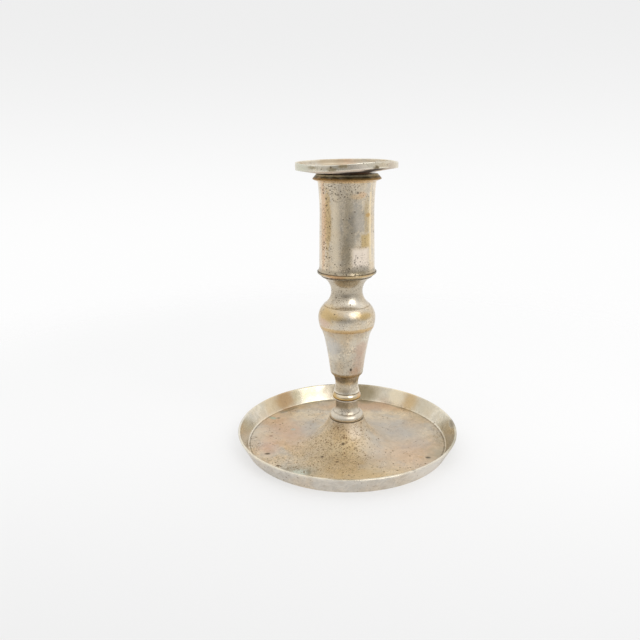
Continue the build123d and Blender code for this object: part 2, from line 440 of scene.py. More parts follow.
class Graph:
    """Lays shader nodes in one tree and hands back their sockets."""

    def __init__(self, tree: bpy.types.NodeTree) -> None:
        """Starts with an empty tree."""
        self.tree = tree
        tree.nodes.clear()

    def node(self, kind: str, **inputs: object) -> bpy.types.Node:
        """Adds a node.

        Args:
            kind: the node's type.
            inputs: sockets to link or values to set, by the input's name.

        Returns:
            The node.
        """
        made = self.tree.nodes.new(kind)
        for word, value in inputs.items():
            self.feed(made.inputs[word.replace("_", " ")], value)
        return made

    def feed(self, entry: Socket, value: object) -> None:
        """Links a socket to an input, or sets the input's own value.

        Args:
            entry: the input.
            value: socket or value.
        """
        if isinstance(value, bpy.types.NodeSocket):
            self.tree.links.new(value, entry)
        else:
            entry.default_value = value

    def calc(self, operation: str, first: object, second: object = 0.0, clamp: bool = False) -> Socket:
        """A sum of two values.

        Args:
            operation: the kind of sum.
            first: socket or number.
            second: socket or number.
            clamp: whether it is kept from 0 to 1.

        Returns:
            The result.
        """
        made = self.tree.nodes.new("ShaderNodeMath")
        made.operation, made.use_clamp = operation, clamp
        self.feed(made.inputs[0], first)
        self.feed(made.inputs[1], second)
        return made.outputs[0]

    def vector(self, operation: str, first: object, second: object | None = None,
               out: str = "Vector") -> Socket:
        """A sum of two vectors.

        Args:
            operation: the kind of sum.
            first: socket or three numbers.
            second: socket or three numbers, where the sum takes two.
            out: which output is wanted.

        Returns:
            The result.
        """
        made = self.tree.nodes.new("ShaderNodeVectorMath")
        made.operation = operation
        self.feed(made.inputs[0], first)
        if second is not None:
            self.feed(made.inputs[1], second)
        return made.outputs[out]

    def remap(self, value: Socket, low: float, high: float, first: float = 0.0, last: float = 1.0) -> Socket:
        """A smooth step.

        Args:
            value: what is read.
            low: where the step starts.
            high: where it ends.
            first: result before the step.
            last: result after it.

        Returns:
            The result.
        """
        made = self.node("ShaderNodeMapRange", Value=value, From_Min=low, From_Max=high,
                         To_Min=first, To_Max=last)
        made.interpolation_type = "SMOOTHSTEP"
        return made.outputs["Result"]

    def blend(self, share: object, first: object, second: object, way: str = "MIX") -> Socket:
        """A mix of two colours.

        Args:
            share: how much of the second.
            first: socket or shader colour.
            second: socket or shader colour.
            way: how they are mixed.

        Returns:
            The mixed colour.
        """
        made = self.tree.nodes.new("ShaderNodeMix")
        made.data_type, made.blend_type = "RGBA", way
        entries = {entry.identifier: entry for entry in made.inputs}
        self.feed(entries["Factor_Float"], share)
        self.feed(entries["A_Color"], first)
        self.feed(entries["B_Color"], second)
        return next(out for out in made.outputs if out.identifier == "Result_Color")

    def shaders(self, share: object, first: Socket, second: Socket) -> Socket:
        """A mix of two shaders.

        Args:
            share: how much of the second.
            first: the first shader.
            second: the second shader.

        Returns:
            The mixed shader.
        """
        made = self.tree.nodes.new("ShaderNodeMixShader")
        for entry, value in zip(made.inputs, (share, first, second)):
            self.feed(entry, value)
        return made.outputs[0]

    def rays(self) -> tuple[Socket, Socket]:
        """Finds out what sees a surface.

        Returns:
            A share that is 1 for the camera's own rays, and one that is 1 for rays by way of metal or glass.
        """
        kinds = self.node("ShaderNodeLightPath").outputs
        return kinds["Is Camera Ray"], self.calc("ADD", kinds["Is Glossy Ray"], kinds["Is Transmission Ray"])


class Paint(Graph):
    """The nodes of one material with one metal or dielectric shader."""

    def __init__(self, name: str, shift: float = 0.0) -> None:
        """Starts a material.

        Args:
            name: name of the material.
            shift: how far its patterns are moved, in metres, so that no two pieces share one.
        """
        self.material = bpy.data.materials.new(name)
        self.material.use_nodes = True
        super().__init__(self.material.node_tree)
        self.shader = self.node("ShaderNodeBsdfPrincipled")
        self.node("ShaderNodeOutputMaterial", Surface=self.shader.outputs["BSDF"])
        self.place = self.node("ShaderNodeTexCoord").outputs["Object"]
        self.moved = self.vector("ADD", self.place, (shift, shift / 3, -shift / 2))

    def shade(self, word: str, value: object) -> None:
        """Feeds one input of the shader."""
        self.feed(self.shader.inputs[word], value)

    def noise(self, grain: float, detail: float = 4.0, roughness: float = 0.55, stir: float = 0.0,
              vector: Socket | None = None) -> Socket:
        """A cloudy pattern.

        Args:
            grain: size of its clouds in millimetres.
            detail: how many finer layers it has.
            roughness: how strong those are.
            stir: how far it is stirred.
            vector: where it is read, if not at the shifted place.

        Returns:
            Its value, from 0 to 1.
        """
        made = self.node("ShaderNodeTexNoise", Vector=vector or self.moved, Scale=1 / (grain * MM),
                         Detail=detail, Roughness=roughness, Distortion=stir)
        return made.outputs["Fac"]

    def attribute(self, word: str) -> Socket:
        """One of the mesh's own shares.

        Args:
            word: name of the attribute.

        Returns:
            The share.
        """
        made = self.node("ShaderNodeAttribute")
        made.attribute_name = word
        return made.outputs["Fac"]

    def bump(self, height: Socket, depth: float, normal: Socket | None = None) -> Socket:
        """Small relief.

        Args:
            height: its height, from 0 to 1.
            depth: what a height of 1 measures, in millimetres.
            normal: relief that it is added to.

        Returns:
            The normal.
        """
        made = self.node("ShaderNodeBump", Height=height, Distance=depth * MM, Strength=1.0)
        if normal is not None:
            self.feed(made.inputs["Normal"], normal)
        return made.outputs["Normal"]

    def rings(self) -> Socket:
        """The place as radius and height, so that a pattern read there runs round the axis.

        Returns:
            The radius as X and the height as Z.
        """
        parts = self.node("ShaderNodeSeparateXYZ", Vector=self.place).outputs
        flat = self.node("ShaderNodeCombineXYZ", X=parts["X"], Y=parts["Y"]).outputs["Vector"]
        radius = self.vector("LENGTH", flat, out="Value")
        return self.node("ShaderNodeCombineXYZ", X=radius, Z=parts["Z"]).outputs["Vector"]


@dataclass(frozen=True)
class Stain:
    """A patch at one place of a piece, with a torn edge.

    Place, reach and grain are in millimetres, and the turn of its axes about the upright one is in degrees.
    A field of pits has no colour of its own, but takes the finish's colour for pits.
    """

    place: Point
    reach: Point
    colour: Colour = (0, 0, 0)
    strength: float = 0.8
    turn: float = 0.0
    torn: float = 0.6
    grain: float = 2.5
    soft: float = 0.5
    film: Film = Film.TINT
    shape: Shape = Shape.ROUND

    @classmethod
    def ring(cls, height: float, rise: float, colour: Colour, strength: float, torn: float, grain: float = 2,
             wide: float = 30, soft: float = 0.5, film: Film = Film.TINT) -> "Stain":
        """A band right round an upright piece.

        Args:
            height: height of its middle.
            rise: how far it reaches up and down.
            colour: its colour.
            strength: how strong it is.
            torn: how torn its edge is.
            grain: size of the tears.
            wide: its reach sideways, well past the piece.
            soft: how soft its edge is.
            film: what it is.

        Returns:
            The stain.
        """
        return cls((0, 0, height), (wide, wide, rise), colour, strength, torn=torn, grain=grain, soft=soft,
                   film=film)

    @classmethod
    def pit(cls, place: Point, reach: Point, colour: Colour, strength: float, torn: float = 0.4,
            grain: float = 0.8) -> "Stain":
        """A small dark hole."""
        return cls(place, reach, colour, strength, torn=torn, grain=grain, film=Film.PIT)

    @classmethod
    def field(cls, place: Point, reach: Point, strength: float, torn: float = 0.7, grain: float = 3,
              soft: float = 0.5) -> "Stain":
        """A stretch where small pits crowd."""
        return cls(place, reach, strength=strength, torn=torn, grain=grain, soft=soft, film=Film.FIELD)

    def share(self, paint: Paint) -> Socket:
        """How much of the patch lies at a point.

        Args:
            paint: the material's nodes.

        Returns:
            A share from 0 to the patch's strength.
        """
        place, reach = (tuple(v * MM for v in lengths) for lengths in (self.place, self.reach))
        local = paint.node("ShaderNodeMapping", Vector=paint.place, Location=place, Scale=reach,
                           Rotation=(0, 0, math.radians(self.turn)))
        local.vector_type = "TEXTURE"
        inside = local.outputs["Vector"]
        if self.shape is Shape.SQUARE:
            parts = paint.node("ShaderNodeSeparateXYZ", Vector=paint.vector("ABSOLUTE", inside)).outputs
            far = paint.calc("MAXIMUM", paint.calc("MAXIMUM", parts["X"], parts["Y"]), parts["Z"])
        else:
            far = paint.vector("LENGTH", inside, out="Value")
        cloud = paint.noise(self.grain, detail=5, roughness=0.65)
        tear = paint.calc("MULTIPLY", paint.calc("SUBTRACT", cloud, 0.5), self.torn * 2)
        return paint.remap(paint.calc("ADD", far, tear), 1 - self.soft, 1 + self.soft, self.strength, 0)


@dataclass(frozen=True)
class WornPlate:
    """Silver-coloured plating over brass: soft warm and cool patches, rubbed edges, pits, stains and dirt,
    where pale edges, upright streaks and some stains are painted light.

    Sizes of patches, flecks and grains, depths and gaps are in millimetres, and the shift is in metres. The
    rest are colours, and shares from 0 to 1.
    """

    plate: Colour = (216, 203, 181)
    warm: Colour = (212, 182, 138)
    cool: Colour = (196, 192, 184)
    bright: Colour = (220, 207, 182)
    stained: Colour = (206, 188, 158)
    brass: Colour = (208, 172, 112)
    # Edge colour: worn brass, and where it is pale a painted highlight
    rubbed: Colour = (208, 172, 112)
    pit: Colour = (88, 70, 48)
    dirt: Colour = (78, 66, 48)
    gloss: float = 0.28
    bright_gloss: float = 0.16
    stained_gloss: float = 0.45
    stained_metal: float = 1.0
    sheen: float = 0.2
    warmed: float = 0.4
    cooled: float = 0.4
    calm: float = 0.0
    edge_wear_and_glint: float = 0.35
    dirty: float = 0.75
    patch: float = 14.0
    fleck: float = 2.4
    flecked: float = 0.25
    grain: float = 0.9
    grained: float = 0.2
    grain_depth: float = 0.012
    mottled: float = 0.03
    freckled: float = 0.35
    # Upright streaks that paint reflections down a turned piece
    reflection_streaks: float = 0.0
    line: float = 0.35
    line_depth: float = 0.003
    pitted: float = 0.25
    pit_gap: float = 1.1
    pit_large: float = 0.3
    pit_depth: float = 0.06
    shift: float = 0.0
    stains: tuple[Stain, ...] = ()

    # Edges of clouds with the results there, their sizes as shares of the patches, and changes to the metal
    PATCH_EDGE: ClassVar[Pair] = (0.45, 0.68)
    FLECK_EDGE: ClassVar[Pair] = (0.5, 0.72)
    FLECK_GLOSS: ClassVar[Step] = (0.3, 0.7, -0.04, 0.06)
    FLECK_RUB: ClassVar[Step] = (0.3, 0.62, 0.3, 1.0)
    FLECK_DIRT: ClassVar[Step] = (0.25, 0.6, 0.35, 1.0)
    DIRT_EDGE: ClassVar[Pair] = (0.1, 0.8)
    CROWD_EDGE: ClassVar[Pair] = (0.46, 0.68)
    FRECKLE_EDGE: ClassVar[Pair] = (0.53, 0.62)
    FRECKLE_CROWD: ClassVar[Pair] = (0.05, 0.5)
    GRAIN_CROWD: ClassVar[Pair] = (0.44, 0.62)
    GRAIN_SPREAD: ClassVar[Step] = (0.36, 0.64, -1.0, 1.0)
    MOTTLE_EDGE: ClassVar[Pair] = (0.4, 0.6)
    STREAK_EDGE: ClassVar[Pair] = (0.3, 0.7)
    STREAK_GRAIN: ClassVar[float] = 2.6
    STREAK_SQUEEZE: ClassVar[Point] = (1.0, 1.0, 0.08)
    COOL_ASIDE: ClassVar[Point] = (0.2, 0.5, 0.9)
    COOL_SIZE: ClassVar[float] = 0.8
    CROWD_SIZE: ClassVar[float] = 0.8
    GRAIN_SIZE: ClassVar[float] = 0.5
    MOTTLE_SIZE: ClassVar[float] = 0.3
    GRAIN_LEAST: ClassVar[float] = 0.2
    GRAIN_CALM: ClassVar[float] = 0.5
    PIT_EDGE: ClassVar[Step] = (0.6, 1.2, 1.0, 0.0)
    PIT_LEAST: ClassVar[float] = 0.2
    PIT_SPREAD: ClassVar[float] = 0.22
    LARGE_GAP: ClassVar[float] = 1.8
    CRUST_LIFT: ClassVar[float] = 0.1
    CRUST_DULL: ClassVar[float] = 0.4
    PIT_LIFT: ClassVar[float] = -0.15
    PIT_COVER: ClassVar[float] = 0.8
    DIRT_DULL: ClassVar[float] = 0.3
    LESS_METAL: ClassVar[float] = 0.7
    BRIGHT_PITS: ClassVar[float] = 0.1
    BRIGHT_GRAIN: ClassVar[float] = 0.12

    def material(self, name: str) -> bpy.types.Material:
        """Builds the finish.

        Args:
            name: name of the material.

        Returns:
            The material.
        """
        paint = Paint(name, self.shift)
        grain = paint.noise(self.grain, detail=2, roughness=0.6)
        fleck = paint.noise(self.fleck, detail=6, roughness=0.7)
        crease, stained, bright = (paint.attribute(word) for word in ("crease", "stained", "bright"))

        colour = self._plating(paint, fleck, stained, bright)
        colour = paint.blend(1.0, colour, self._speckle(paint, grain, stained, bright), "MULTIPLY")
        rough = paint.remap(bright, 0, 1, self.gloss, self.bright_gloss)
        rough = paint.calc("ADD", rough, paint.remap(stained, 0, 1, 0, self.stained_gloss - self.gloss))
        rough = paint.calc("ADD", rough, paint.remap(fleck, *self.FLECK_GLOSS))
        metal = paint.remap(stained, 0, 1, 1, self.stained_metal)
        height = paint.calc("MULTIPLY", grain, self.grain_depth)

        # Stains at their own places, and the fields where pits crowd
        clouds = paint.noise(self.patch * self.CROWD_SIZE, detail=3, roughness=0.6)
        crowd = paint.remap(clouds, *self.CROWD_EDGE, 0, self.pitted)
        for stain in self.stains:
            share = stain.share(paint)
            if stain.film is Film.FIELD:
                crowd = paint.calc("MAXIMUM", crowd, share)
                continue
            colour = paint.blend(share, colour, linear(stain.colour))
            if stain.film is not Film.TINT:
                metal = paint.calc("SUBTRACT", metal, share, clamp=True)
                rough = paint.calc("ADD", rough, paint.calc("MULTIPLY", share, self.CRUST_DULL))
                lift = self.CRUST_LIFT if stain.film is Film.CRUST else self.PIT_LIFT
                height = paint.calc("ADD", height, paint.calc("MULTIPLY", share, lift))

        # Freckles and pits of two sizes, which the bright zone doesn't have
        crowd = paint.calc("MULTIPLY", crowd, paint.remap(bright, 0, 1, 1, self.BRIGHT_PITS))
        clouds = paint.noise(self.grain, detail=3, roughness=0.6, stir=0.8)
        freckle = paint.remap(clouds, *self.FRECKLE_EDGE, 0, self.freckled)
        freckle = paint.calc("MULTIPLY", freckle, paint.remap(crowd, *self.FRECKLE_CROWD))
        colour = paint.blend(freckle, colour, linear(self.pit))
        for gap, most in ((self.pit_gap, 1.0), (self.pit_gap * self.LARGE_GAP, self.pit_large)):
            pit = self._pits(paint, gap, paint.calc("MULTIPLY", crowd, most))
            colour = paint.blend(paint.calc("MULTIPLY", pit, self.PIT_COVER), colour, linear(self.pit))
            metal = paint.calc("SUBTRACT", metal, paint.calc("MULTIPLY", pit, self.LESS_METAL), clamp=True)
            height = paint.calc("SUBTRACT", height, paint.calc("MULTIPLY", pit, self.pit_depth))

        # Dirt in the creases
        caught = paint.calc("MULTIPLY", crease, paint.remap(fleck, *self.FLECK_DIRT))
        caught = paint.remap(caught, *self.DIRT_EDGE, 0, self.dirty)
        colour = paint.blend(caught, colour, linear(self.dirt))
        metal = paint.calc("SUBTRACT", metal, paint.calc("MULTIPLY", caught, self.LESS_METAL), clamp=True)
        rough = paint.calc("ADD", rough, paint.calc("MULTIPLY", caught, self.DIRT_DULL))

        paint.shade("Base Color", colour)
        paint.shade("Metallic", metal)
        paint.shade("Roughness", rough)
        paint.shade("Specular IOR Level", self.sheen)
        lines = paint.noise(self.line, detail=2, roughness=0.6, vector=paint.rings())
        paint.shade("Normal", paint.bump(lines, self.line_depth, paint.bump(height, 1.0)))
        return paint.material

    def _plating(self, paint: Paint, fleck: Socket, stained: Socket, bright: Socket) -> Socket:
        """The plating's colour before it was stained or pitted, with the edge colour, which on pale edges is
        a painted highlight.

        Args:
            paint: the material's nodes.
            fleck: the small clouds.
            stained: the share of the stained zone.
            bright: the share of the bright zone.

        Returns:
            The colour.
        """
        colour = paint.blend(stained, linear(self.plate), linear(self.stained))
        colour = paint.blend(bright, colour, linear(self.bright))
        lively = paint.remap(stained, 0, 1, 1 - self.calm, 1)
        clouds = paint.noise(self.patch, detail=3, roughness=0.5, stir=0.3)
        warm = paint.remap(clouds, *self.PATCH_EDGE, 0, self.warmed)
        colour = paint.blend(paint.calc("MULTIPLY", warm, lively), colour, linear(self.warm))
        aside = paint.vector("ADD", paint.moved, self.COOL_ASIDE)
        clouds = paint.noise(self.patch * self.COOL_SIZE, detail=3, roughness=0.5, stir=0.3, vector=aside)
        cool = paint.remap(clouds, *self.PATCH_EDGE, 0, self.cooled)
        colour = paint.blend(paint.calc("MULTIPLY", cool, lively), colour, linear(self.cool))
        flecks = paint.remap(fleck, *self.FLECK_EDGE, 0, self.flecked)
        colour = paint.blend(paint.calc("MULTIPLY", flecks, lively), colour, linear(self.brass))
        # Edges take the edge colour: worn brass, and where that colour is pale a painted highlight
        rubbed = paint.calc("MULTIPLY", paint.attribute("edge"), paint.remap(fleck, *self.FLECK_RUB))
        rubbed = paint.calc("MULTIPLY", rubbed, self.edge_wear_and_glint)
        return paint.blend(rubbed, colour, linear(self.rubbed))

    def _speckle(self, paint: Paint, grain: Socket, stained: Socket, bright: Socket) -> Socket:
        """Mottle, painted upright reflection streaks, and grains that crowd in places and are polished off
        the bright zone.

        Args:
            paint: the material's nodes.
            grain: the finest clouds.
            stained: the share of the stained zone.
            bright: the share of the bright zone.

        Returns:
            A grey near 1 to multiply the colour with.
        """
        clouds = paint.noise(self.patch * self.GRAIN_SIZE, detail=3, roughness=0.6, stir=0.5)
        crowd = paint.remap(clouds, *self.GRAIN_CROWD, self.grained * self.GRAIN_LEAST, self.grained)
        crowd = paint.calc("MULTIPLY", crowd, paint.remap(bright, 0, 1, 1, self.BRIGHT_GRAIN))
        crowd = paint.calc("MULTIPLY", crowd, paint.remap(stained, 0, 1, 1 - self.calm * self.GRAIN_CALM, 1))
        clouds = paint.noise(self.patch * self.MOTTLE_SIZE, detail=4, roughness=0.65, stir=0.7)
        mottle = paint.remap(clouds, *self.MOTTLE_EDGE, 1 - self.mottled, 1 + self.mottled)
        grains = paint.calc("MULTIPLY", paint.remap(grain, *self.GRAIN_SPREAD), crowd)
        tone = paint.calc("ADD", grains, mottle)
        # Painted reflections: upright streaks
        if self.reflection_streaks:
            upright = paint.vector("MULTIPLY", paint.moved, self.STREAK_SQUEEZE)
            streak = paint.noise(self.STREAK_GRAIN, detail=4, roughness=0.65, vector=upright)
            streak = paint.remap(streak, *self.STREAK_EDGE, -self.reflection_streaks, self.reflection_streaks)
            tone = paint.calc("ADD", tone, streak)
        return paint.node("ShaderNodeCombineColor", Red=tone, Green=tone, Blue=tone).outputs["Color"]

    def _pits(self, paint: Paint, gap: float, crowd: Socket) -> Socket:
        """Small round pits, of which only some cells of a pattern have one.

        Args:
            paint: the material's nodes.
            gap: size of the pattern's cells in millimetres.
            crowd: share of the cells that have one.

        Returns:
            A share that is 1 in a pit.
        """
        cells = paint.node("ShaderNodeTexVoronoi", Vector=paint.moved, Scale=1 / (gap * MM))
        kind = paint.node("ShaderNodeSeparateColor", Color=cells.outputs["Color"]).outputs
        there = paint.calc("LESS_THAN", kind["Red"], crowd)
        size = paint.calc("ADD", paint.calc("MULTIPLY", kind["Green"], self.PIT_SPREAD), self.PIT_LEAST)
        hole = paint.remap(paint.calc("DIVIDE", cells.outputs["Distance"], size), *self.PIT_EDGE)
        return paint.calc("MULTIPLY", hole, there)


@dataclass(frozen=True)
class DarkIron:
    """Old iron with rust in its grain.

    Grain and depth are in millimetres, and the shift is in metres.
    """

    iron: Colour = (104, 99, 94)
    rust: Colour = (124, 82, 52)
    grain: float = 1.4
    gloss: float = 0.4
    dull: float = 0.75
    rust_metal: float = 0.2
    grain_depth: float = 0.03
    shift: float = 0.0

    RUST_EDGE: ClassVar[Pair] = (0.48, 0.66)
    DULL_EDGE: ClassVar[Pair] = (0.4, 0.7)

    def material(self, name: str) -> bpy.types.Material:
        """Builds the finish.

        Args:
            name: name of the material.

        Returns:
            The material.
        """
        paint = Paint(name, self.shift)
        cloud = paint.noise(self.grain, detail=6, roughness=0.7)
        fine = paint.noise(self.grain / 5, detail=3, roughness=0.6)
        rusty = paint.remap(cloud, *self.RUST_EDGE)
        paint.shade("Base Color", paint.blend(rusty, linear(self.iron), linear(self.rust)))
        paint.shade("Metallic", paint.remap(cloud, *self.RUST_EDGE, 1.0, self.rust_metal))
        paint.shade("Roughness", paint.remap(cloud, *self.DULL_EDGE, self.gloss, self.dull))
        paint.shade("Normal", paint.bump(fine, self.grain_depth))
        return paint.material


@dataclass(frozen=True)
class Dish:
    """The spun dish: leaning wall, flat floor and hollow mound."""

    rim: float = 58.75
    foot: float = 53.9
    height: float = 9.0
    wall: float = 1.2
    edge_round: float = 0.4
    rim_round: float = 0.58
    crease_round: float = 0.7
    mound_base: float = 27.0
    mound_top: float = 9.4
    mound_height: float = 14.1
    hole: float = 2.7
    spool_foot: float = 8.6
    crease_dirt: float = 1.7
    # The crease's painted highlight: how far in from the foot and how high
    crease_glint: float = 0.6
    crease_glint_rise: float = 0.2
    # The painted reflections on the wall's inside: how far in, how high and how tall
    reflection_inset: float = 2.6
    reflection_height_share: float = 0.6
    reflection_rise: float = 7.0
    swell: float = 0.14
    swell_grain: float = 20.0
    back_lift: float = 0.7
    steps: int = 256

    def outline(self) -> Outline:
        """The half section, with one thickness of sheet all along.

        Returns:
            The outline.
        """
        lean = (self.rim - self.foot) / self.height
        across = self.wall * math.hypot(lean, 1)
        crease = self.foot + lean * self.wall - across
        under_top, under_radius = self.mound_height - self.wall, self.mound_top - self.wall
        walk = Outline(self.hole, under_top)
        walk.to(under_radius, under_top)
        walk.arc(self.mound_base, 0, arriving=OUTWARD)
        walk.to(self.foot, 0, self.edge_round)
        walk.to(self.rim, self.height, self.rim_round)
        walk.to(self.rim - across, self.height, self.rim_round, Zone.BRIGHT)
        walk.to(crease, self.wall, self.crease_round, Zone.BRIGHT)
        walk.to(self.mound_base, self.wall, 0, Zone.STAINED)
        walk.arc(self.mound_top, self.mound_height, leaving=INWARD, zone=Zone.STAINED)
        walk.to(self.hole, self.mound_height, 0, Zone.STAINED)
        return walk.to(self.hole, under_top)

    def build(self) -> None:
        """Makes the dish and dresses it."""
        # A painted highlight along the crease's fillet, laid as edge colour
        rubbed = Contact(self.foot - self.crease_glint, self.wall + self.crease_glint_rise, reach=0.35,
                         share="edge")
        contacts = (Contact(self.spool_foot, self.mound_height, reach=0.5, strength=0.8),
                    Contact(self.foot - self.crease_dirt, self.wall, reach=0.3, strength=0.8), rubbed)
        piece = turned("spun_dish", self.outline(), self.steps, contacts, creased=0.05, edged=0.3)
        uneven(piece, self.swell, self.swell_grain, depth=1)
        self._bend(piece)
        # The pale edge colour and strong edge share paint highlights along the rim and the crease
        finish = WornPlate(
            plate=(210, 203, 192), warm=(212, 186, 148), cool=(204, 200, 192), bright=(227, 219, 200),
            stained=(224, 209, 184), rubbed=(248, 240, 220), pit=(116, 86, 50), gloss=0.38, bright_gloss=0.2,
            stained_gloss=0.58, warmed=0.6, cooled=0.6, calm=0.5, edge_wear_and_glint=0.9, patch=15, fleck=3.2,
            grained=0.14, mottled=0.07, freckled=0.42, pit_gap=0.75, pit_large=0.55, shift=0.31,
            stains=self._stains() + self._wall_reflections())
        hand_over(piece, "drip_tray", Body.STICK, finish.material("worn_dish"))

    def _bend(self, piece: Piece) -> None:
        """Lifts the rim a little at the back, as knocks have left it.

        Args:
            piece: the dish.
        """
        places = spots(piece)
        radius = np.hypot(places[:, 0], places[:, 1])
        behind = np.clip(places[:, 1] / np.maximum(radius, 1), 0, 1) ** 2
        out = np.clip((radius - self.foot) / (self.rim - self.foot), 0, 1)
        places[:, 2] += self.back_lift * behind * out ** 2 * (3 - 2 * out)
        put(piece, places)

    def _stains(self) -> tuple[Stain, ...]:
        """The floor's grey, rosy and golden patches, its pits, its dark spots and its green crust, with
        painted highlights on the mound's right front and on the wall's outside at the front right.

        Returns:
            The stains.
        """
        z, low = self.wall, 4.0
        gold, rosy, lilac, brown = (213, 189, 142), (214, 180, 150), (192, 187, 182), (66, 52, 36)
        green, olive = (204, 208, 193), (108, 101, 78)
        return (
            Stain((-5, -22, low), (16, 18, 12), gold, 0.6, torn=0.5, grain=6, soft=0.8),
            # Painted highlights: two pale patches on the mound's right front
            Stain((14, -17, 5), (8, 9, 9), (222, 210, 194), 0.5, grain=5, soft=0.8),
            Stain((4, -12, 11.5), (4.5, 5, 5), (228, 217, 202), 0.65, grain=3),
            Stain((-6, -12, 11), (7, 6, 5), (198, 164, 112), 0.45, grain=3, soft=0.6),
            Stain((-21, 12, z), (12, 13, 5), lilac, 0.55, grain=6, soft=0.7),
            Stain((-20, -12, 3), (9, 9, 6), (206, 182, 146), 0.4, grain=5, soft=0.8),
            Stain((26, 7, z), (20, 18, 6), lilac, 0.6, grain=8, soft=0.8),
            Stain((-35, 10, z), (10, 18, 5), rosy, 0.6, turn=20, grain=6, soft=0.7),
            Stain((14, 42, z), (24, 6, 5), rosy, 0.6, grain=5, soft=0.7),
            Stain((34, -20, z), (16, 13, 5), rosy, 0.45, turn=30, grain=6, soft=0.8),
            Stain((-42, -9, z), (5, 8, 4), (214, 166, 140), 0.45, grain=4, soft=0.8),
            Stain((3, -42, z), (24, 8, 5), (221, 197, 151), 0.55, grain=5, soft=0.7),
            Stain((-26, -36, z), (11, 6, 4), (176, 172, 156), 0.6, grain=3, soft=0.6),
            Stain((-24.7, -37, z), (4.0, 2.8, 3), green, 0.85, grain=1.6, film=Film.CRUST),
            Stain((-20.2, -36.8, z), (1.2, 2.6, 3), olive, 0.4, torn=1.2, grain=0.9, soft=0.4,
                  film=Film.CRUST),
            Stain.field((-27, -32, z), (7, 3.2, 3), 0.9, torn=0.8, grain=2, soft=0.4),
            Stain((-42, 26.8, z), (2.2, 1.3, 3), (172, 192, 172), 0.75, turn=-34, grain=1.2, film=Film.CRUST),
            Stain.pit((-38.6, 26.6, z), (1.1, 0.8, 2), olive, 0.7, torn=0.6, grain=1.0),
            Stain((-29.6, 11.1, z), (1.4, 1.3, 2), (188, 196, 188), 0.6, grain=1.2, film=Film.CRUST),
            Stain.pit((-41.4, 3.2, z), (1.0, 0.9, 2), (150, 108, 84), 0.7, torn=0.6, grain=1.0),
            Stain((33.4, 39.8, 2), (9, 1.4, 2), olive, 0.55, turn=-42, torn=0.9, grain=1.6, film=Film.CRUST),
            Stain.pit((57.8, 1, 8.4), (1.8, 4.5, 1.8), (84, 74, 76), 0.9, torn=0.5, grain=1.4),
            # Painted highlight on the wall's outside at the front right
            Stain((38.5, -41.3, 4.5), (15, 3.5, 7), (234, 226, 214), 0.6, turn=43, grain=5, soft=0.8),
            Stain.pit((15.6, -57.4, 8.9), (0.9, 0.9, 0.9), brown, 0.8),
            Stain.pit((29.2, -49.5, 8.6), (1.0, 0.8, 0.9), brown, 0.6),
            Stain((-33, 38, 2), (7, 1.6, 2), (112, 112, 92), 0.6, turn=40, grain=1.6, film=Film.CRUST),
            Stain.pit((-41.8, -17.3, z), (1.3, 0.9, 2), (92, 80, 60), 0.9, torn=0.5, grain=0.9),
            Stain.pit((-35.6, -30, z), (1.0, 0.8, 2), (92, 76, 54), 0.8, torn=0.5),
            Stain.pit((40.6, -23.2, z), (1.2, 0.9, 2), brown, 0.95, torn=0.3),
            Stain.pit((-13.5, -21.4, 2), (0.8, 0.7, 3), brown, 0.95, torn=0.3),
            Stain.pit((-6.0, -26.8, z), (0.9, 0.6, 2), brown, 0.8),
            Stain.pit((-2.5, -15.1, 4.2), (0.9, 0.6, 3), brown, 0.8, torn=0.5),
            Stain.field((-10, -20, low), (19, 20, 14), 0.85, grain=5, soft=0.7),
            Stain.field((-32, -30, z), (14, 11, 5), 0.55, grain=4, soft=0.7),
            Stain.field((10, -36, z), (34, 12, 5), 0.2, grain=6, soft=0.7),
            Stain.field((-50, -6, z), (4, 10, 2), 0.6),
            Stain.field((50, 2, z), (3, 11, 2), 0.5),
        )

    def _wall_reflections(self) -> tuple[Stain, ...]:
        """Painted reflections and highlights on the wall's inside: brown at the back left, gold at the back
        right, dull at the right.

        Returns:
            The stains.
        """
        # Painted reflections: degrees from the back to the right, reach, colour and strength
        painted_reflections = (
            (-88, 16, (224, 220, 212), 0.55),
            (-40, 7, (192, 152, 100), 0.75),
            (-51, 6, (222, 192, 142), 0.5),
            (-31, 3, (202, 188, 148), 0.5),
            (-21, 6, (210, 198, 166), 0.85),
            (-9, 5, (170, 160, 142), 0.85),
            (14, 8, (160, 146, 114), 0.85),
            (36, 5, (248, 232, 200), 0.75),
            (46, 5, (216, 182, 126), 0.7),
            (58, 7, (206, 194, 168), 0.6),
            (92, 9, (190, 180, 157), 0.7),
            (112, 12, (176, 168, 148), 0.8),
        )
        out, height = self.rim - self.reflection_inset, self.height * self.reflection_height_share
        stains = []
        for angle, wide, colour, strength in painted_reflections:
            turn = math.radians(angle)
            place, reach = (out * math.sin(turn), out * math.cos(turn), height), (wide, wide, self.reflection_rise)
            stains.append(Stain(place, reach, colour, strength, torn=0.5, grain=5, soft=0.6))
        return tuple(stains)


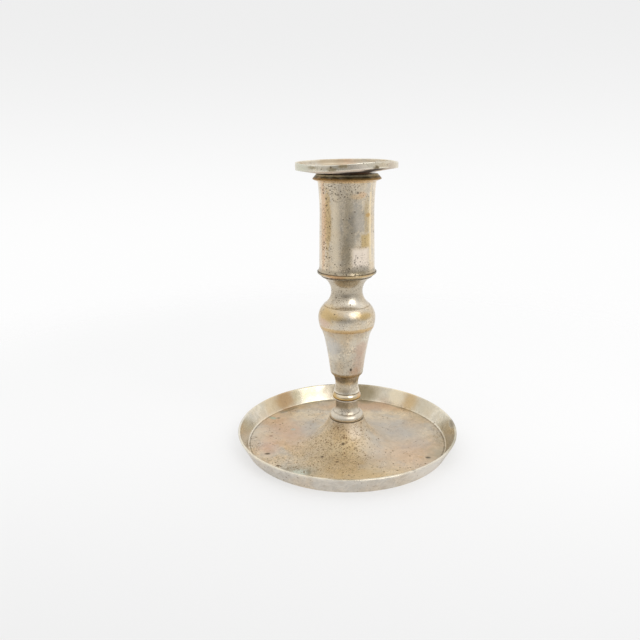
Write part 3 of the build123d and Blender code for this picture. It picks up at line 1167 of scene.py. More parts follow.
@dataclass(frozen=True)
class FootSpool:
    """The small spool on the mound: ring, flare, neck and thin top ring."""

    ring: float = 9.0
    ring_base: float = 8.5
    ring_crown: float = 7.2
    ring_rise: float = 3.6
    ring_under: float = 0.9
    flare: float = 7.0
    flare_rise: float = 3.6
    neck: float = 5.85
    neck_rise: float = 3.2
    top_ring: float = 6.5
    top_ring_rise: float = 1.0
    hole: float = 2.7
    shaded_share: float = 0.6
    swell: float = 0.05
    swell_grain: float = 4.0
    steps: int = 144

    def outline(self, base: float) -> Outline:
        """The half section.

        Args:
            base: height of its underside.

        Returns:
            The outline.
        """
        ring_top = base + self.ring_rise
        flare_top = ring_top + self.flare_rise
        neck_top = flare_top + self.neck_rise
        top = neck_top + self.top_ring_rise
        walk = Outline(self.hole, base, step=0.4)
        walk.to(self.ring_base, base)
        walk.arc(self.ring, base + self.ring_under, arriving=UP)
        walk.arc(self.ring_crown, ring_top, leaving=UP)
        walk.to(self.flare, ring_top)
        walk.arc(self.neck, flare_top, arriving=UP)
        walk.to(self.neck, neck_top)
        walk.arc(self.top_ring, neck_top + self.top_ring_rise / 2, arriving=UP, zone=Zone.BRIGHT)
        walk.arc(self.neck, top, leaving=UP, zone=Zone.BRIGHT)
        walk.to(self.hole, top)
        return walk.to(self.hole, base)

    def build(self) -> None:
        """Makes the spool and dresses it."""
        base, top = (corner.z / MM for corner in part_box("foot_spool"))
        neck = base + self.ring_rise + self.flare_rise
        contacts = (Contact(self.ring_base, base, reach=0.4, strength=0.9),
                    Contact(self.neck, top - self.top_ring_rise, reach=0.2),
                    Contact(self.flare, base + self.ring_rise, reach=0.25, strength=0.6))
        piece = turned("turned_spool", self.outline(base), self.steps, contacts, creased=0.5)
        uneven(piece, self.swell, self.swell_grain)
        shaded = neck + self.neck_rise * self.shaded_share
        stains = (
            Stain((-4, -4, shaded), (6, 6, 2.6), (122, 108, 86), 0.6, torn=0.4, grain=1.5),
            Stain.field((-2, -7, neck - 1.8), (4, 4, 1.8), 0.7, torn=0.6, grain=1.4),
            # Painted highlight: a pale ring on the thin top ring
            Stain.ring(top - 0.55, 0.5, (238, 228, 212), 0.8, torn=0.3, grain=1.5, film=Film.CRUST),
        )
        finish = WornPlate(
            plate=(218, 208, 190), bright=(246, 238, 222), gloss=0.33, bright_gloss=0.25, warmed=0.2,
            flecked=0.12, patch=7, fleck=1.2, grained=0.14, pitted=0.35, pit_gap=0.7, dirty=0.7, shift=0.77,
            stains=stains)
        hand_over(piece, "foot_spool", Body.STICK, finish.material("worn_spool"))


@dataclass(frozen=True)
class Stem:
    """The baluster stem, from its bead up to its cup."""

    bead: float = 7.45
    bead_base: float = 6.6
    bead_top: float = 6.25
    bead_top_rise: float = 3.3
    bead_under: float = 0.9
    bead_rise: float = 4.3
    fillet: float = 6.75
    fillet_base: float = 3.65
    fillet_top: float = 6.6
    fillet_round: float = 0.15
    waist: float = 6.03
    waist_rise: float = 4.0
    vase_foot: float = 8.45
    vase_foot_rise: float = 5.5
    vase_foot_step: float = 0.75
    vase_foot_round: float = 1.7
    vase_top: float = 11.6
    vase_rise: float = 20.0
    vase_hollow: float = 0.25
    knop_edge: float = 13.8
    knop_edge_round: float = 0.4
    shoulder_rise: float = 5.5
    knop: float = 14.7
    knop_lower_rise: float = 5.2
    knop_crown: float = 12.1
    knop_upper_rise: float = 6.3
    line_depth: float = 0.35
    line_width: float = 0.5
    neck: float = 8.0
    neck_rise: float = 7.0
    cup: float = 13.0
    cup_rise: float = 7.8
    cup_edge: float = 0.5
    cup_round: float = 0.1
    hole: float = 2.7
    swell: float = 0.07
    swell_grain: float = 6.0
    steps: int = 168

    def levels(self, base: float) -> dict[str, float]:
        """Heights of the mouldings.

        Args:
            base: height of the stem's underside.

        Returns:
            The heights by name.
        """
        level = {"bead": base + self.bead_rise}
        level["waist"] = level["bead"] + self.waist_rise
        level["vase"] = level["waist"] + self.vase_foot_rise
        level["shoulder"] = level["vase"] + self.vase_rise
        level["edge"] = level["shoulder"] + self.shoulder_rise
        level["knop"] = level["edge"] + self.knop_lower_rise
        level["line"] = level["knop"] + self.knop_upper_rise
        level["neck"] = level["line"] + self.line_width + self.neck_rise
        level["cup"] = level["neck"] + self.cup_rise
        level["top"] = level["cup"] + self.cup_edge
        return level

    def outline(self, base: float) -> Outline:
        """The half section: every moulding starts where the one below it ends.

        Args:
            base: height of its underside.

        Returns:
            The outline.
        """
        level = self.levels(base)
        across, up = self.vase_top - self.vase_foot, self.vase_rise
        swing = 2 * math.atan(2 * self.vase_hollow / math.hypot(across, up))
        start, end = (math.atan2(up, across) + way * swing for way in (1, -1))
        root = self.knop_crown - self.line_depth
        walk = Outline(self.hole, base, step=0.5)
        walk.to(self.bead_base, base)
        walk.arc(self.bead, base + self.bead_under, arriving=UP, zone=Zone.BRIGHT)
        walk.arc(self.bead_top, base + self.bead_top_rise, leaving=UP, zone=Zone.BRIGHT)
        walk.to(self.fillet, base + self.fillet_base, self.fillet_round, Zone.BRIGHT)
        walk.to(self.fillet_top, level["bead"], 0, Zone.BRIGHT)
        walk.arc(self.waist, level["waist"], arriving=UP)
        walk.arc(self.vase_foot - self.vase_foot_step, level["vase"], leaving=UP)
        walk.to(self.vase_foot, level["vase"], self.vase_foot_round)
        walk.arc(self.vase_top, level["shoulder"], leaving=(math.cos(start), math.sin(start)),
                 zone=Zone.STAINED)
        walk.arc(self.knop_edge, level["edge"], leaving=(math.cos(end), math.sin(end)),
                 rounding=self.knop_edge_round, zone=Zone.STAINED)
        walk.arc(self.knop, level["knop"], arriving=UP)
        walk.arc(self.knop_crown, level["line"], leaving=UP, rounding=self.knop_edge_round / 2)
        walk.to(root, level["line"] + self.line_width / 2)
        walk.to(root, level["line"] + self.line_width)
        walk.arc(self.neck, level["neck"], arriving=UP)
        walk.arc(self.cup, level["cup"], leaving=UP, rounding=self.cup_round)
        walk.to(self.cup, level["top"], self.cup_round)
        walk.to(self.hole, level["top"])
        return walk.to(self.hole, base)

    def build(self) -> None:
        """Makes the stem and dresses it."""
        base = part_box("baluster_stem")[0].z / MM
        level = self.levels(base)
        contacts = (Contact(self.bead_base, base, reach=0.5),
                    Contact(self.cup, level["top"], reach=0.4),
                    Contact(self.bead_top, base + self.bead_top_rise, reach=0.2, strength=0.8))
        piece = turned("turned_stem", self.outline(base), self.steps, contacts, creased=0.7)
        uneven(piece, self.swell, self.swell_grain)
        finish = WornPlate(
            stained=(228, 221, 206), bright=(234, 224, 202), stained_gloss=0.5, bright_gloss=0.15, warmed=0.3,
            cooled=0.35, patch=9, fleck=1.6, flecked=0.2, grained=0.22, pitted=0.3, pit_gap=0.62, dirty=0.8,
            shift=1.3, stains=self._stains(base, level))
        hand_over(piece, "baluster_stem", Body.STICK, finish.material("worn_stem"))

    def _stains(self, base: float, level: dict[str, float]) -> tuple[Stain, ...]:
        """Gold on the knop and the bead, blushes on the vase and a pit at its foot, with painted shade under
        the bead and the vase's foot, painted highlights above the bead and on the neck, and a painted dark
        reflection on the cup.

        Args:
            base: height of the stem's underside.
            level: heights of the mouldings.

        Returns:
            The stains.
        """
        gold, rosy, dark = (210, 178, 116), (212, 184, 164), (74, 62, 48)
        crown, vase = level["line"] - 2.8, level["vase"]
        return (
            Stain((-11, -9, crown), (6, 8, 4), gold, 0.75, torn=0.7, grain=3, soft=0.6),
            Stain((9, -11, crown - 0.4), (5, 4, 1.6), gold, 0.75, torn=0.6, grain=3, soft=0.6),
            Stain((-5, -13, crown - 0.8), (4, 3, 1.2), gold, 0.5, torn=0.6, grain=2, soft=0.6),
            Stain((6, 12, crown), (12, 8, 2.4), gold, 0.6, torn=0.8, grain=4, soft=0.6),
            Stain((-12, -8, level["knop"] - 1), (4, 5, 2), rosy, 0.7, grain=2),
            Stain.ring(level["edge"] + 0.8, 1.0, (206, 172, 118), 0.75, torn=0.6, grain=3, wide=40),
            Stain.ring(base + 0.9, 0.9, (198, 162, 92), 0.8, torn=0.4),
            Stain((-7, -1.5, base + 2), (2.6, 4.5, 2), (196, 158, 84), 0.75, torn=0.4, grain=2),
            Stain((7, -1.5, base + 2), (2.6, 4.5, 2), (206, 160, 104), 0.65, torn=0.4, grain=2),
            # Painted shade under the bead
            Stain.ring(base + 0.15, 0.6, (58, 42, 24), 0.85, torn=0.3),
            Stain.ring(vase + 0.4, 1.1, (168, 141, 92), 0.75, torn=0.5),
            # Painted shade on the waist's front left, under the vase's foot
            Stain((-3, -4, level["waist"] + 3.3), (8, 8, 1.7), (108, 104, 97), 0.7, torn=0.4, grain=2),
            # Painted highlight on the fillet above the bead
            Stain.ring(level["bead"] - 0.2, 0.6, (240, 232, 216), 0.6, torn=0.4),
            Stain((-4, -5, level["bead"] + 2), (4, 4, 2), (172, 160, 138), 0.6, torn=0.8, grain=1.4),
            Stain((7, -7.5, vase + 8), (4, 5, 6), rosy, 0.55, grain=1.4),
            Stain((7.5, -8.6, vase + 15.5), (4, 5, 4), rosy, 0.6, grain=1.4),
            Stain((5, -9, vase + 3), (4, 3, 2.4), (206, 166, 132), 0.5, grain=1.4),
            Stain((-8, -8, vase + 17), (5, 5, 5), (202, 202, 202), 0.5, grain=1.6),
            Stain.pit((1.7, -9.0, vase + 4.6), (0.6, 1, 0.8), dark, 0.95, torn=0.5, grain=0.6),
            Stain.field((1, -9, vase + 5), (9, 6, 6), 0.35),
            # Painted highlight on the neck above the knop's line
            Stain((4, -9.6, level["line"] + 2.4), (6, 4, 2.6), (244, 238, 226), 0.5, grain=2, soft=0.7),
            Stain.field((-5, -7, level["neck"] - 2), (6, 6, 4), 0.6),
            Stain.ring(level["neck"] + 1.5, 5, (178, 168, 150), 0.6, torn=0.7, grain=3, soft=0.7),
            # Painted dark reflection on the cup, under the seat disc
            Stain.ring(level["cup"] - 0.5, 2.6, (180, 168, 146), 0.6, torn=0.5, grain=3, soft=0.7, wide=40),
        )


@dataclass(frozen=True)
class SeatDisc:
    """The disc between the stem's cup and the socket, whose rubbed edge shows as a gold line."""

    radius: float = 14.95
    under: float = 13.3
    under_rise: float = 1.2
    edge_round: float = 0.3
    hole: float = 2.7
    socket_foot: float = 14.6
    dull_side: float = 14.5
    steps: int = 160

    def build(self) -> None:
        """Makes the disc and dresses it."""
        base, top = (corner.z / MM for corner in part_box("socket_seat"))
        walk = Outline(self.hole, base, step=0.6)
        walk.to(self.under, base)
        walk.to(self.radius, base + self.under_rise, self.edge_round)
        walk.to(self.radius, top, self.edge_round, Zone.BRIGHT)
        walk.to(self.hole, top)
        walk.to(self.hole, base)
        contacts = (Contact(self.under, base, reach=0.6), Contact(self.socket_foot, top, reach=0.3))
        piece = turned("seat_disc", walk, self.steps, contacts)
        rosy = Stain((-7, -13, top - 0.5), (5, 5, 1.5), (206, 160, 118), 0.6, torn=0.5, grain=2)
        dull = [Stain((side, 0, top - 0.5), (4, 9, 4), (132, 128, 108), 0.85, grain=2)
                for side in (-self.dull_side, self.dull_side)]
        finish = WornPlate(
            plate=(196, 184, 158), bright=(222, 198, 156), warm=(214, 178, 126), warmed=0.5, gloss=0.26,
            bright_gloss=0.2, edge_wear_and_glint=0.3, patch=8, fleck=1.6, pitted=0.2, shift=2.1, stains=(rosy, *dull))
        hand_over(piece, "socket_seat", Body.STICK, finish.material("rubbed_brass"))


@dataclass(frozen=True)
class SocketTube:
    """The candle's tube, with its flared foot and its lip."""

    bore: float = 12.0
    wall: float = 1.5
    floor: float = 1.4
    foot: float = 14.6
    flare_growth: float = 0.4
    flare_rise: float = 2.9
    waist_rise: float = 25.3
    mouth_growth: float = 0.83
    mouth_rise: float = 16.0
    lip: float = 17.05
    lip_mouth: float = 14.9
    lip_rise: float = 3.6
    lip_edge: float = 1.15
    lip_round: float = 0.45
    mouth_round: float = 0.3
    hole: float = 2.7
    streak_grain: float = 1.6
    streak_soft: float = 0.3
    swell: float = 0.08
    swell_grain: float = 9.0
    steps: int = 192

    def outline(self, base: float) -> Outline:
        """The half section.

        Args:
            base: height of its underside.

        Returns:
            The outline.
        """
        flare_top = base + self.flare_rise
        waist = flare_top + self.waist_rise
        lip_base = waist + self.mouth_rise
        top = lip_base + self.lip_rise
        tube = self.bore + self.wall
        walk = Outline(self.hole, base, step=0.7)
        walk.to(self.foot, base, self.mouth_round / 2)
        walk.arc(tube + self.flare_growth, flare_top, arriving=UP)
        walk.to(tube, waist)
        walk.arc(tube + self.mouth_growth, lip_base, leaving=(-self.flare_growth, self.waist_rise))
        walk.to(self.lip, lip_base + self.lip_edge, self.lip_round)
        walk.to(self.lip_mouth, top, self.mouth_round, Zone.STAINED)
        walk.to(self.bore, top, self.mouth_round)
        walk.to(self.bore, base + self.floor, 0, Zone.STAINED)
        walk.to(self.hole, base + self.floor, 0, Zone.STAINED)
        return walk.to(self.hole, base)

    def build(self) -> None:
        """Makes the tube and dresses it."""
        base, top = (corner.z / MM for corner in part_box("candle_socket"))
        lip_base = top - self.lip_rise
        contacts = (Contact(self.bore, base + self.floor, reach=1.0), Contact(self.foot, base, reach=0.25))
        piece = turned("socket_tube", self.outline(base), self.steps, contacts)
        uneven(piece, self.swell, self.swell_grain)
        # Dark olive in the stained zone, the lip's top and the bore: tarnish, and on the lip's top under the
        # pan painted shade as well
        finish = WornPlate(
            plate=(230, 216, 193), stained=(72, 68, 46), pit=(70, 55, 38), stained_metal=0.4, gloss=0.26,
            warmed=0.3, cooled=0.45, patch=9, fleck=1.8, flecked=0.2, grained=0.18, reflection_streaks=0.1, pitted=0.35,
            pit_gap=0.75, pit_large=0.6, shift=3.7, stains=self._stains(base, lip_base))
        hand_over(piece, "candle_socket", Body.STICK, finish.material("worn_socket"))

    def _stains(self, base: float, lip_base: float) -> tuple[Stain, ...]:
        """Upright streaks down the tube that paint reflections, pale and golden patches, square patches that
        paint reflections too, pale painted highlights along the lip, painted shade at the foot, and pits
        under the lip.

        Args:
            base: height of the tube's underside.
            lip_base: height where the lip starts.

        Returns:
            The stains.
        """
        middle = (base + lip_base) / 2
        gold, rosy, pale, dark = (202, 170, 112), (218, 182, 146), (238, 224, 208), (66, 52, 40)
        return (
            # Painted reflections of the room: the five long upright streaks below
            self._streak(-46, middle + 4, (2.3, 4, 15), gold, 0.7, 0.7),
            self._streak(-59, middle + 3, (1.9, 4, 24), rosy, 0.7, 0.6),
            self._streak(-26, middle - 3, (2.3, 3, 22), (242, 226, 198), 0.65, 0.4),
            self._streak(2, middle - 2, (2.6, 3, 20), (208, 192, 163), 0.55, 0.5),
            self._streak(53, middle + 4, (0.9, 3, 21), (248, 228, 190), 0.85, 0.9),
            self._streak(46, lip_base - 15.4, (1.7, 3, 1.0), (214, 168, 102), 0.8, 0.5),
            self._streak(42, middle + 6, (1.8, 3, 9), (190, 164, 110), 0.5, 0.8),
            self._streak(20, lip_base - 6.4, (3.4, 3, 1.2), (234, 206, 168), 0.75, 0.6),
            self._streak(30, lip_base - 5.4, (2.2, 3, 1.3), (236, 202, 166), 0.7, 0.6),
            # Painted reflections: two square patches on the tube's right
            self._streak(39, base + 16.4, (2.7, 3, 3.3), (216, 186, 124), 0.75, 0.2, Shape.SQUARE),
            self._streak(27, base + 8.6, (4.3, 4, 4.3), pale, 0.85, 0.12, Shape.SQUARE, Film.CRUST),
            self._streak(24, base + 25, (3, 3, 3), pale, 0.4, 0.8),
            self._streak(-5, base + 10, (2.0, 3, 9), (150, 138, 114), 0.4, 0.7),
            self._streak(20, lip_base - 17, (4, 3, 7), (170, 167, 160), 0.5, 1.5),
            self._streak(10, lip_base - 24, (3, 3, 6), (166, 160, 148), 0.4, 1.5),
            self._streak(24, base + 2.8, (6, 3, 1.8), (158, 150, 138), 0.55, 0.8),
            Stain.ring(lip_base + 1.3, 0.8, (176, 138, 82), 0.75, torn=0.4, grain=3, wide=40),
            # Painted highlights: pale lines along the lip's lower and top edges
            Stain.ring(lip_base + 0.2, 0.5, (238, 210, 166), 0.6, torn=0.4, grain=3, wide=40),
            Stain.ring(lip_base + self.lip_rise, 0.7, (206, 196, 164), 0.9, torn=0.4, wide=40),
            # Painted shade that dulls the key light's highlight on the foot's flare
            self._streak(24, base + 0.9, (3.4, 3, 1.0), (146, 132, 104), 0.75, 0.4),
            Stain.ring(base + 0.8, 1.3, (166, 154, 130), 0.6, torn=0.4, wide=40),
            Stain.field((-4, -12, lip_base - 4), (10, 8, 4.5), 1.0, torn=0.6),
            self._streak(20, base + 5, (9, 4, 6), dark, 0.5, 0.8, film=Film.FIELD),
            self._streak(-50, base + 20, (4, 4, 18), dark, 0.55, 0.8, film=Film.FIELD),
        )

    def _streak(self, angle: float, height: float, reach: Point, colour: Colour, strength: float, torn: float,
                shape: Shape = Shape.ROUND, film: Film = Film.TINT) -> Stain:
        """A patch on the tube's outside.

        Args:
            angle: where it lies, in degrees to the right of the front.
            height: height of its middle.
            reach: its reach along the wall, through it and upwards.
            colour: its colour.
            strength: how strong it is.
            torn: how torn its edge is.
            shape: its shape.
            film: what it is.

        Returns:
            The stain.
        """
        out, turn = self.bore + self.wall, math.radians(angle)
        place = (out * math.sin(turn), -out * math.cos(turn), height)
        return Stain(place, reach, colour, strength, turn=angle, torn=torn, grain=self.streak_grain,
                     soft=self.streak_soft, film=film, shape=shape)


@dataclass(frozen=True)
class DripPan:
    """The loose pan and the collar under it, both on one crooked axis."""

    radius: float = 24.9
    floor: float = 1.0
    seat: float = 15.9
    rise: float = 1.35
    rim_height: float = 3.4
    rim_wall: float = 1.1
    edge_round: float = 0.4
    cove: float = 1.6
    hole: float = 11.4
    tilt: float = 1.7
    heading: float = -25.0
    seat_gap: float = 0.3
    lip_mouth: float = 14.9
    droop: float = 0.4
    knock: float = 0.95
    knock_angle: float = 33.0
    knock_width: float = 26.0
    dents: tuple[Point, ...] = ((-25, 30, -0.8), (35, 24, -0.45), (90, 24, -0.6), (-140, 50, 0.6),
                                (150, 45, 0.5))
    collar: float = 11.35
    collar_wall: float = 0.8
    collar_length: float = 9.0
    flange_width: float = 1.6
    flange_thickness: float = 0.8
    lead_in: float = 0.3
    stain_level: float = 3.0
    swell: float = 0.1
    swell_grain: float = 14.0
    steps: int = 192

    def place(self) -> Matrix:
        """Where the pan's underside crosses its axis, and how that leans.

        Returns:
            The matrix from an upright pan at the origin.
        """
        tilt, heading = math.radians(self.tilt), math.radians(self.heading)
        lean = math.sin(tilt)
        axis = Vector((-lean * math.cos(heading), -lean * math.sin(heading), math.cos(tilt)))
        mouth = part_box("candle_socket")[1].z / MM
        level = mouth + self.seat_gap + self.lip_mouth * lean
        origin = Vector((axis.x * self.collar_length / 2, axis.y * self.collar_length / 2, level)) * MM
        return Matrix.Translation(origin) @ Vector((0, 0, 1)).rotation_difference(axis).to_matrix().to_4x4()

    def pan_outline(self) -> Outline:
        """The saucer's half section.

        Returns:
            The outline.
        """
        top, inner = self.rise + self.rim_height, self.radius - self.rim_wall
        walk = Outline(self.hole, 0, step=0.6)
        walk.to(self.seat, 0, 0, Zone.STAINED)
        walk.to(self.radius, self.rise, self.edge_round, Zone.STAINED)
        walk.to(self.radius, top, self.edge_round)
        walk.to(inner, top, self.edge_round, Zone.BRIGHT)
        walk.to(inner, self.rise + self.floor, self.cove, Zone.BRIGHT)
        walk.to(self.seat, self.floor, 0, Zone.BRIGHT)
        walk.to(self.hole, self.floor, 0, Zone.BRIGHT)
        return walk.to(self.hole, 0)

    def collar_outline(self) -> Outline:
        """The collar's half section.

        Returns:
            The outline.
        """
        bore, top = self.collar - self.collar_wall, self.floor + self.flange_thickness
        walk = Outline(bore, -self.collar_length, step=0.6)
        walk.to(self.collar, -self.collar_length, self.lead_in)
        walk.to(self.collar, self.floor, 0, Zone.STAINED)
        walk.to(self.collar + self.flange_width, self.floor)
        walk.to(self.collar + self.flange_width, top, self.lead_in)
        walk.to(bore, top, self.lead_in)
        return walk.to(bore, -self.collar_length)

    def build(self) -> None:
        """Makes pan and collar and dresses them."""
        contact = Contact(self.collar + self.flange_width, self.floor, reach=0.6)
        pan = turned("pan_saucer", self.pan_outline(), self.steps, (contact,))
        self._bend(pan)
        uneven(pan, self.swell, self.swell_grain, depth=1)
        # The pale edge colour and strong edge share paint a highlight along the rim's top edge
        finish = WornPlate(
            plate=(226, 217, 196), bright=(232, 226, 213), stained=(226, 212, 196), rubbed=(246, 240, 224),
            gloss=0.26, bright_gloss=0.58, stained_gloss=0.6, stained_metal=0.2, warmed=0.35, cooled=0.45,
            edge_wear_and_glint=0.85, patch=8, fleck=2, grained=0.1, pitted=0.2, pit_gap=0.8, shift=4.9,
            stains=self._stains())
        hand_over(pan, "drip_pan", Body.PAN, finish.material("worn_pan"))
        collar = turned("pan_collar", self.collar_outline(), self.steps, place=self.place())
        # The collar's dark brown outside: tarnish, and painted shade under the pan
        inside = WornPlate(stained=(96, 70, 54), stained_gloss=0.5, gloss=0.34, warmed=0.6, pitted=0.3,
                           shift=6.1)
        hand_over(collar, "drip_pan_collar", Body.PAN, inside.material("worn_collar"))

    def _bend(self, pan: Piece) -> None:
        """Bends the upright pan's rim, as knocks have left it, and sets the pan on its crooked axis.

        Args:
            pan: the pan.
        """
        places = spots(pan)
        out = np.clip((np.hypot(places[:, 0], places[:, 1]) - self.seat) / (self.radius - self.seat), 0, 1)
        angle = np.degrees(np.arctan2(places[:, 0], -places[:, 1]))
        up = np.clip((places[:, 2] - self.rise) / self.rim_height, 0, 1)
        knocked = np.exp(-0.5 * ((angle - self.knock_angle) / self.knock_width) ** 2)
        places[:, 2] += out * (self.knock * knocked - self.droop * places[:, 0] / self.radius)
        # Each dent of the rim's top has a place and a width in degrees, and a height
        for where, width, lift in self.dents:
            away = (angle - where + 180) % 360 - 180
            places[:, 2] += lift * up * np.exp(-0.5 * (away / width) ** 2)
        put(pan, places)
        only(pan)
        pan.matrix_world = self.place()
        bpy.ops.object.transform_apply(location=True, rotation=True, scale=True)

    def _stains(self) -> tuple[Stain, ...]:
        """Olive and pale stains on the rim, painted shade at the rim's front right and under it, and golden
        and grey patches inside, one of them painted shade that dulls a highlight in the cove.

        Returns:
            The stains.
        """
        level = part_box("drip_pan")[0].z / MM + self.stain_level
        olive = (160, 142, 98)
        return (
            Stain((0, 20, level + 1), (5, 12, 3), (224, 186, 148), 0.5, grain=2, soft=0.6),
            Stain((-2.6, -24, level + 1.4), (2.4, 3, 0.8), (172, 146, 92), 0.65, torn=0.8, grain=1.2),
            Stain((-17, -18.5, level + 0.6), (2.2, 3, 0.6), (144, 128, 86), 0.6, torn=0.9, grain=1, soft=0.6),
            Stain((-7.6, -23.6, level - 0.3), (2.0, 2.6, 1.1), olive, 0.65, torn=0.9, grain=1, soft=0.6),
            # Painted shade at the rim's front right, where the underside goes in
            Stain((12.6, -21.4, level + 0.1), (1.3, 3, 1.3), (112, 94, 58), 0.85, torn=0.8, grain=0.9),
            # Painted shade under the pan, above the gap to the lip
            Stain((7, -16, level - 1.95), (13, 5, 0.65), (58, 42, 32), 0.95, torn=0.2, grain=3, soft=0.25),
            Stain((13, -17.5, level - 0.82), (8, 4.2, 0.7), (52, 38, 28), 0.95, torn=0.2, grain=3, soft=0.25),
            # Painted shade that dulls the key light's highlight in the cove at the back
            Stain((-8, 22.5, level + 1.2), (9, 3.5, 3), (206, 192, 168), 0.8, grain=2),
            Stain((4, -24.3, level + 0.7), (5, 2.5, 1.5), (240, 228, 214), 0.6, grain=2),
            Stain((20, -14, level), (3.5, 5, 3), (196, 180, 162), 0.6, grain=2, soft=0.7),
            Stain((-22, -10, level), (5, 9, 3.5), (196, 198, 180), 0.65, grain=2, soft=0.7),
        )


@dataclass(frozen=True)
class TieRod:
    """The slotted rod that clamps the stack, with a thread at its tail."""

    radius: float = 2.5
    tip_chamfer: float = 0.4
    head: float = 5.0
    head_height: float = 2.8
    head_round: float = 0.5
    slot_width: float = 1.2
    slot_depth: float = 1.3
    pitch: float = 0.8
    thread_depth: float = 0.42
    thread_length: float = 6.0
    thread_step: float = 0.1
    shank_step: float = 4.0
    core: float = 0.05
    heart: float = 1.0
    steps: int = 64

    def build(self) -> None:
        """Makes the rod and gives all the iron its finish."""
        base, top = (corner.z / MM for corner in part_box("tie_rod"))
        neck = top - self.head_height
        walk = Outline(self.core, base, step=self.thread_step)
        walk.to(self.radius - self.tip_chamfer, base)
        walk.to(self.radius, base + self.tip_chamfer)
        walk.to(self.radius, base + self.thread_length)
        walk.step = self.shank_step
        walk.to(self.radius, neck)
        walk.to(self.head, neck)
        walk.to(self.head, top, self.head_round)
        walk.to(self.core, top)
        walk.to(self.core, base)
        rod = turned("clamping_rod", walk, self.steps)
        self._thread(rod, base)
        self._slot(rod, top)
        hand_over(rod, "tie_rod", Body.STICK, DarkIron(shift=7).material("dark_rod"))
        for i, node in enumerate(("base_washer", "base_nut")):
            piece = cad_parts[node]
            piece.data.materials.clear()
            piece.data.materials.append(DarkIron(shift=8 + i).material("dark_" + node))
            LOG.info("%s keeps its shape", node)

    def _thread(self, rod: Piece, base: float) -> None:
        """Cuts the thread into the tail, by moving its rings in along a helix.

        Args:
            rod: the rod.
            base: height of its tip.
        """
        places = spots(rod)
        out = np.hypot(places[:, 0], places[:, 1])
        turn = np.arctan2(places[:, 1], places[:, 0]) / math.tau
        phase = np.mod((places[:, 2] - base) / self.pitch - turn, 1)
        cut = self.thread_depth * np.abs(2 * phase - 1)
        threaded = (places[:, 2] > base + self.tip_chamfer) & (places[:, 2] < base + self.thread_length)
        tail = threaded & (out > self.heart)
        places[tail, :2] *= ((out - cut) / np.maximum(out, self.heart))[tail, None]
        put(rod, places)

    def _slot(self, rod: Piece, top: float) -> None:
        """Saws the screwdriver's slot across the head.

        Args:
            rod: the rod.
            top: height of its head.
        """
        bpy.ops.object.select_all(action="DESELECT")
        bpy.ops.mesh.primitive_cube_add(size=MM, calc_uvs=False, location=(0, 0, top * MM))
        saw = bpy.context.object
        saw.scale = (self.head * 3, self.slot_width, self.slot_depth * 2)
        bpy.ops.object.transform_apply(location=True, rotation=True, scale=True)
        cut = rod.modifiers.new("slot", "BOOLEAN")
        cut.operation, cut.solver, cut.object = "DIFFERENCE", "EXACT", saw
        only(rod)
        bpy.ops.object.modifier_apply(modifier=cut.name)
        bpy.data.objects.remove(saw)


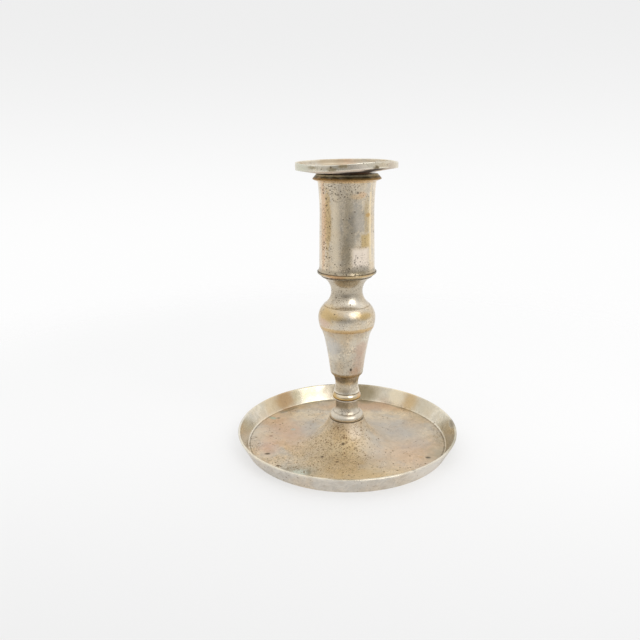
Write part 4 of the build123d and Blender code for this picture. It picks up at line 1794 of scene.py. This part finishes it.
@dataclass(frozen=True)
class Studio:
    """A pale floor, soft light and the camera, as the photograph has them.

    The floor and the camera are in millimetres, the lamp is in metres. A step of brightness has the place or
    direction where it starts, the one where it ends, and the brightness at both.
    """

    camera_place: Point = (-13.827, -322.28, 161.46)
    camera_pitch: float = 16.14
    camera_roll: float = -0.61
    focal_pixels: float = 650.0
    picture_pixels: float = 640.0
    sensor: float = 36.0
    clip: Pair = (0.01, 100.0)
    floor_sides: int = 96
    floor_reach: float = 420.0
    floor_fade: float = 220.0
    paper: float = 0.9
    glow: float = 0.55
    floor_by_depth: Step = (-0.24, 0.02, 0.76, 0.99)
    floor_by_side: Step = (-0.2, 0.2, -0.01, 0.03)
    overhead: Step = (0.1, 0.8, 0.7, 0.97)
    behind: Step = (-0.4, 0.5, 0.7, 0.97)
    viewer_way: Point = (-0.1, -0.995, 0.0)
    viewer_edge: Pair = (0.68, 0.98)
    viewer_dim: Step = (0.2, 0.5, 0.45, 0.0)
    backdrop: Step = (-0.16, 0.17, 0.985, 0.86)
    window_depth: Pair = (0.55, 0.7)
    window_top: Step = (0.18, 0.3, 1.0, 0.0)
    key_aim: Point = (0.0, 0.0, 0.07)
    key_azimuth: float = 36.0
    key_elevation: float = 39.0
    key_distance: float = 1.15
    key_size: Pair = (0.7, 0.66)
    key_power: float = 2.7

    def build(self) -> None:
        """Sets up the whole studio."""
        scene = bpy.context.scene
        scene.view_settings.view_transform = "Standard"
        self._camera(scene)
        self._floor()
        self._world(scene)
        self._key(scene)

    def _camera(self, scene: bpy.types.Scene) -> None:
        """Puts the camera where the photograph was taken from.

        Args:
            scene: the scene.
        """
        data = bpy.data.cameras.new("photo_camera")
        data.sensor_width = self.sensor
        data.lens = self.sensor * self.focal_pixels / self.picture_pixels
        data.clip_start, data.clip_end = self.clip
        camera = bpy.data.objects.new("photo_camera", data)
        scene.collection.objects.link(camera)
        turn = Matrix.Rotation(math.radians(90 - self.camera_pitch), 4, "X")
        roll = Matrix.Rotation(math.radians(self.camera_roll), 4, "Z")
        camera.matrix_world = Matrix.Translation(Vector(self.camera_place) * MM) @ turn @ roll
        scene.camera = camera

    def _floor(self) -> None:
        """Lays a pale floor that fades into the background and keeps the shadow."""
        bpy.ops.object.select_all(action="DESELECT")
        bpy.ops.mesh.primitive_circle_add(vertices=self.floor_sides, radius=self.floor_reach * MM,
                                          fill_type="NGON")
        floor = bpy.context.object
        floor.name = "pale_floor"
        material = bpy.data.materials.new("pale_floor")
        material.use_nodes = True
        graph = Graph(material.node_tree)
        place = graph.node("ShaderNodeTexCoord").outputs["Object"]
        straight, mirrored = graph.rays()
        seen = graph.calc("ADD", straight, mirrored, clamp=True)
        parts = graph.node("ShaderNodeSeparateXYZ", Vector=place).outputs
        shine = graph.calc("ADD", graph.remap(parts["Y"], *self.floor_by_depth),
                           graph.remap(parts["X"], *self.floor_by_side))
        paper = graph.node("ShaderNodeBsdfDiffuse", Color=grey(self.paper)).outputs[0]
        light = graph.node("ShaderNodeEmission", Color=grey(1.0), Strength=shine).outputs[0]
        lit = graph.shaders(graph.calc("MULTIPLY", seen, self.glow), paper, light)
        distance = graph.vector("LENGTH", place, out="Value")
        far = graph.remap(distance, self.floor_fade * MM, self.floor_reach * MM)
        clear = graph.node("ShaderNodeBsdfTransparent").outputs[0]
        faded = graph.calc("MULTIPLY", far, straight)
        graph.node("ShaderNodeOutputMaterial", Surface=graph.shaders(faded, lit, clear))
        floor.data.materials.append(material)

    def _world(self, scene: bpy.types.Scene) -> None:
        """Lights the room: white behind the object and overhead, dim where the viewer stands.

        Args:
            scene: the scene.
        """
        world = bpy.data.worlds.new("studio")
        scene.world = world
        world.use_nodes = True
        graph = Graph(world.node_tree)
        way = graph.node("ShaderNodeTexCoord").outputs["Generated"]
        parts = graph.node("ShaderNodeSeparateXYZ", Vector=way).outputs
        overhead = graph.remap(parts["Z"], *self.overhead)
        behind = graph.remap(parts["Y"], *self.behind)
        room = graph.calc("MAXIMUM", overhead, behind)
        aim = graph.vector("DOT_PRODUCT", way, self.viewer_way, "Value")
        viewer = graph.calc("MULTIPLY", graph.remap(aim, *self.viewer_edge),
                            graph.remap(parts["Z"], *self.viewer_dim))
        room = graph.calc("MULTIPLY", room, graph.calc("SUBTRACT", 1.0, viewer))
        backdrop = graph.remap(parts["Z"], *self.backdrop)
        window = graph.calc("MULTIPLY", graph.remap(parts["Y"], *self.window_depth),
                            graph.remap(parts["Z"], *self.window_top))
        straight, mirrored = graph.rays()
        seen = graph.calc("ADD", straight, graph.calc("MULTIPLY", mirrored, window), clamp=True)
        shown = graph.calc("ADD", graph.calc("MULTIPLY", seen, backdrop),
                           graph.calc("MULTIPLY", graph.calc("SUBTRACT", 1.0, seen), room))
        light = graph.node("ShaderNodeBackground", Color=grey(1.0), Strength=shown).outputs[0]
        graph.node("ShaderNodeOutputWorld", Surface=light)

    def _key(self, scene: bpy.types.Scene) -> None:
        """Hangs a soft lamp to the right of the camera, facing the object.

        Args:
            scene: the scene.
        """
        data = bpy.data.lights.new("key_softbox", "AREA")
        data.shape, data.energy = "RECTANGLE", self.key_power
        data.size, data.size_y = self.key_size
        lamp = bpy.data.objects.new("key_softbox", data)
        scene.collection.objects.link(lamp)
        a, e = math.radians(self.key_azimuth), math.radians(self.key_elevation)
        out = Vector((math.sin(a) * math.cos(e), -math.cos(a) * math.cos(e), math.sin(e)))
        turn = (-out).to_track_quat("-Z", "Y").to_matrix().to_4x4()
        lamp.matrix_world = Matrix.Translation(Vector(self.key_aim) + out * self.key_distance) @ turn


def main() -> None:
    """Builds the candlestick from its foot upwards, and then the studio."""
    logging.basicConfig(level=logging.INFO, format="%(message)s")
    for assembly in (Dish(), FootSpool(), Stem(), SeatDisc(), SocketTube(), DripPan(), TieRod()):
        assembly.build()
    Studio().build()


if __name__ == "__main__":
    main()
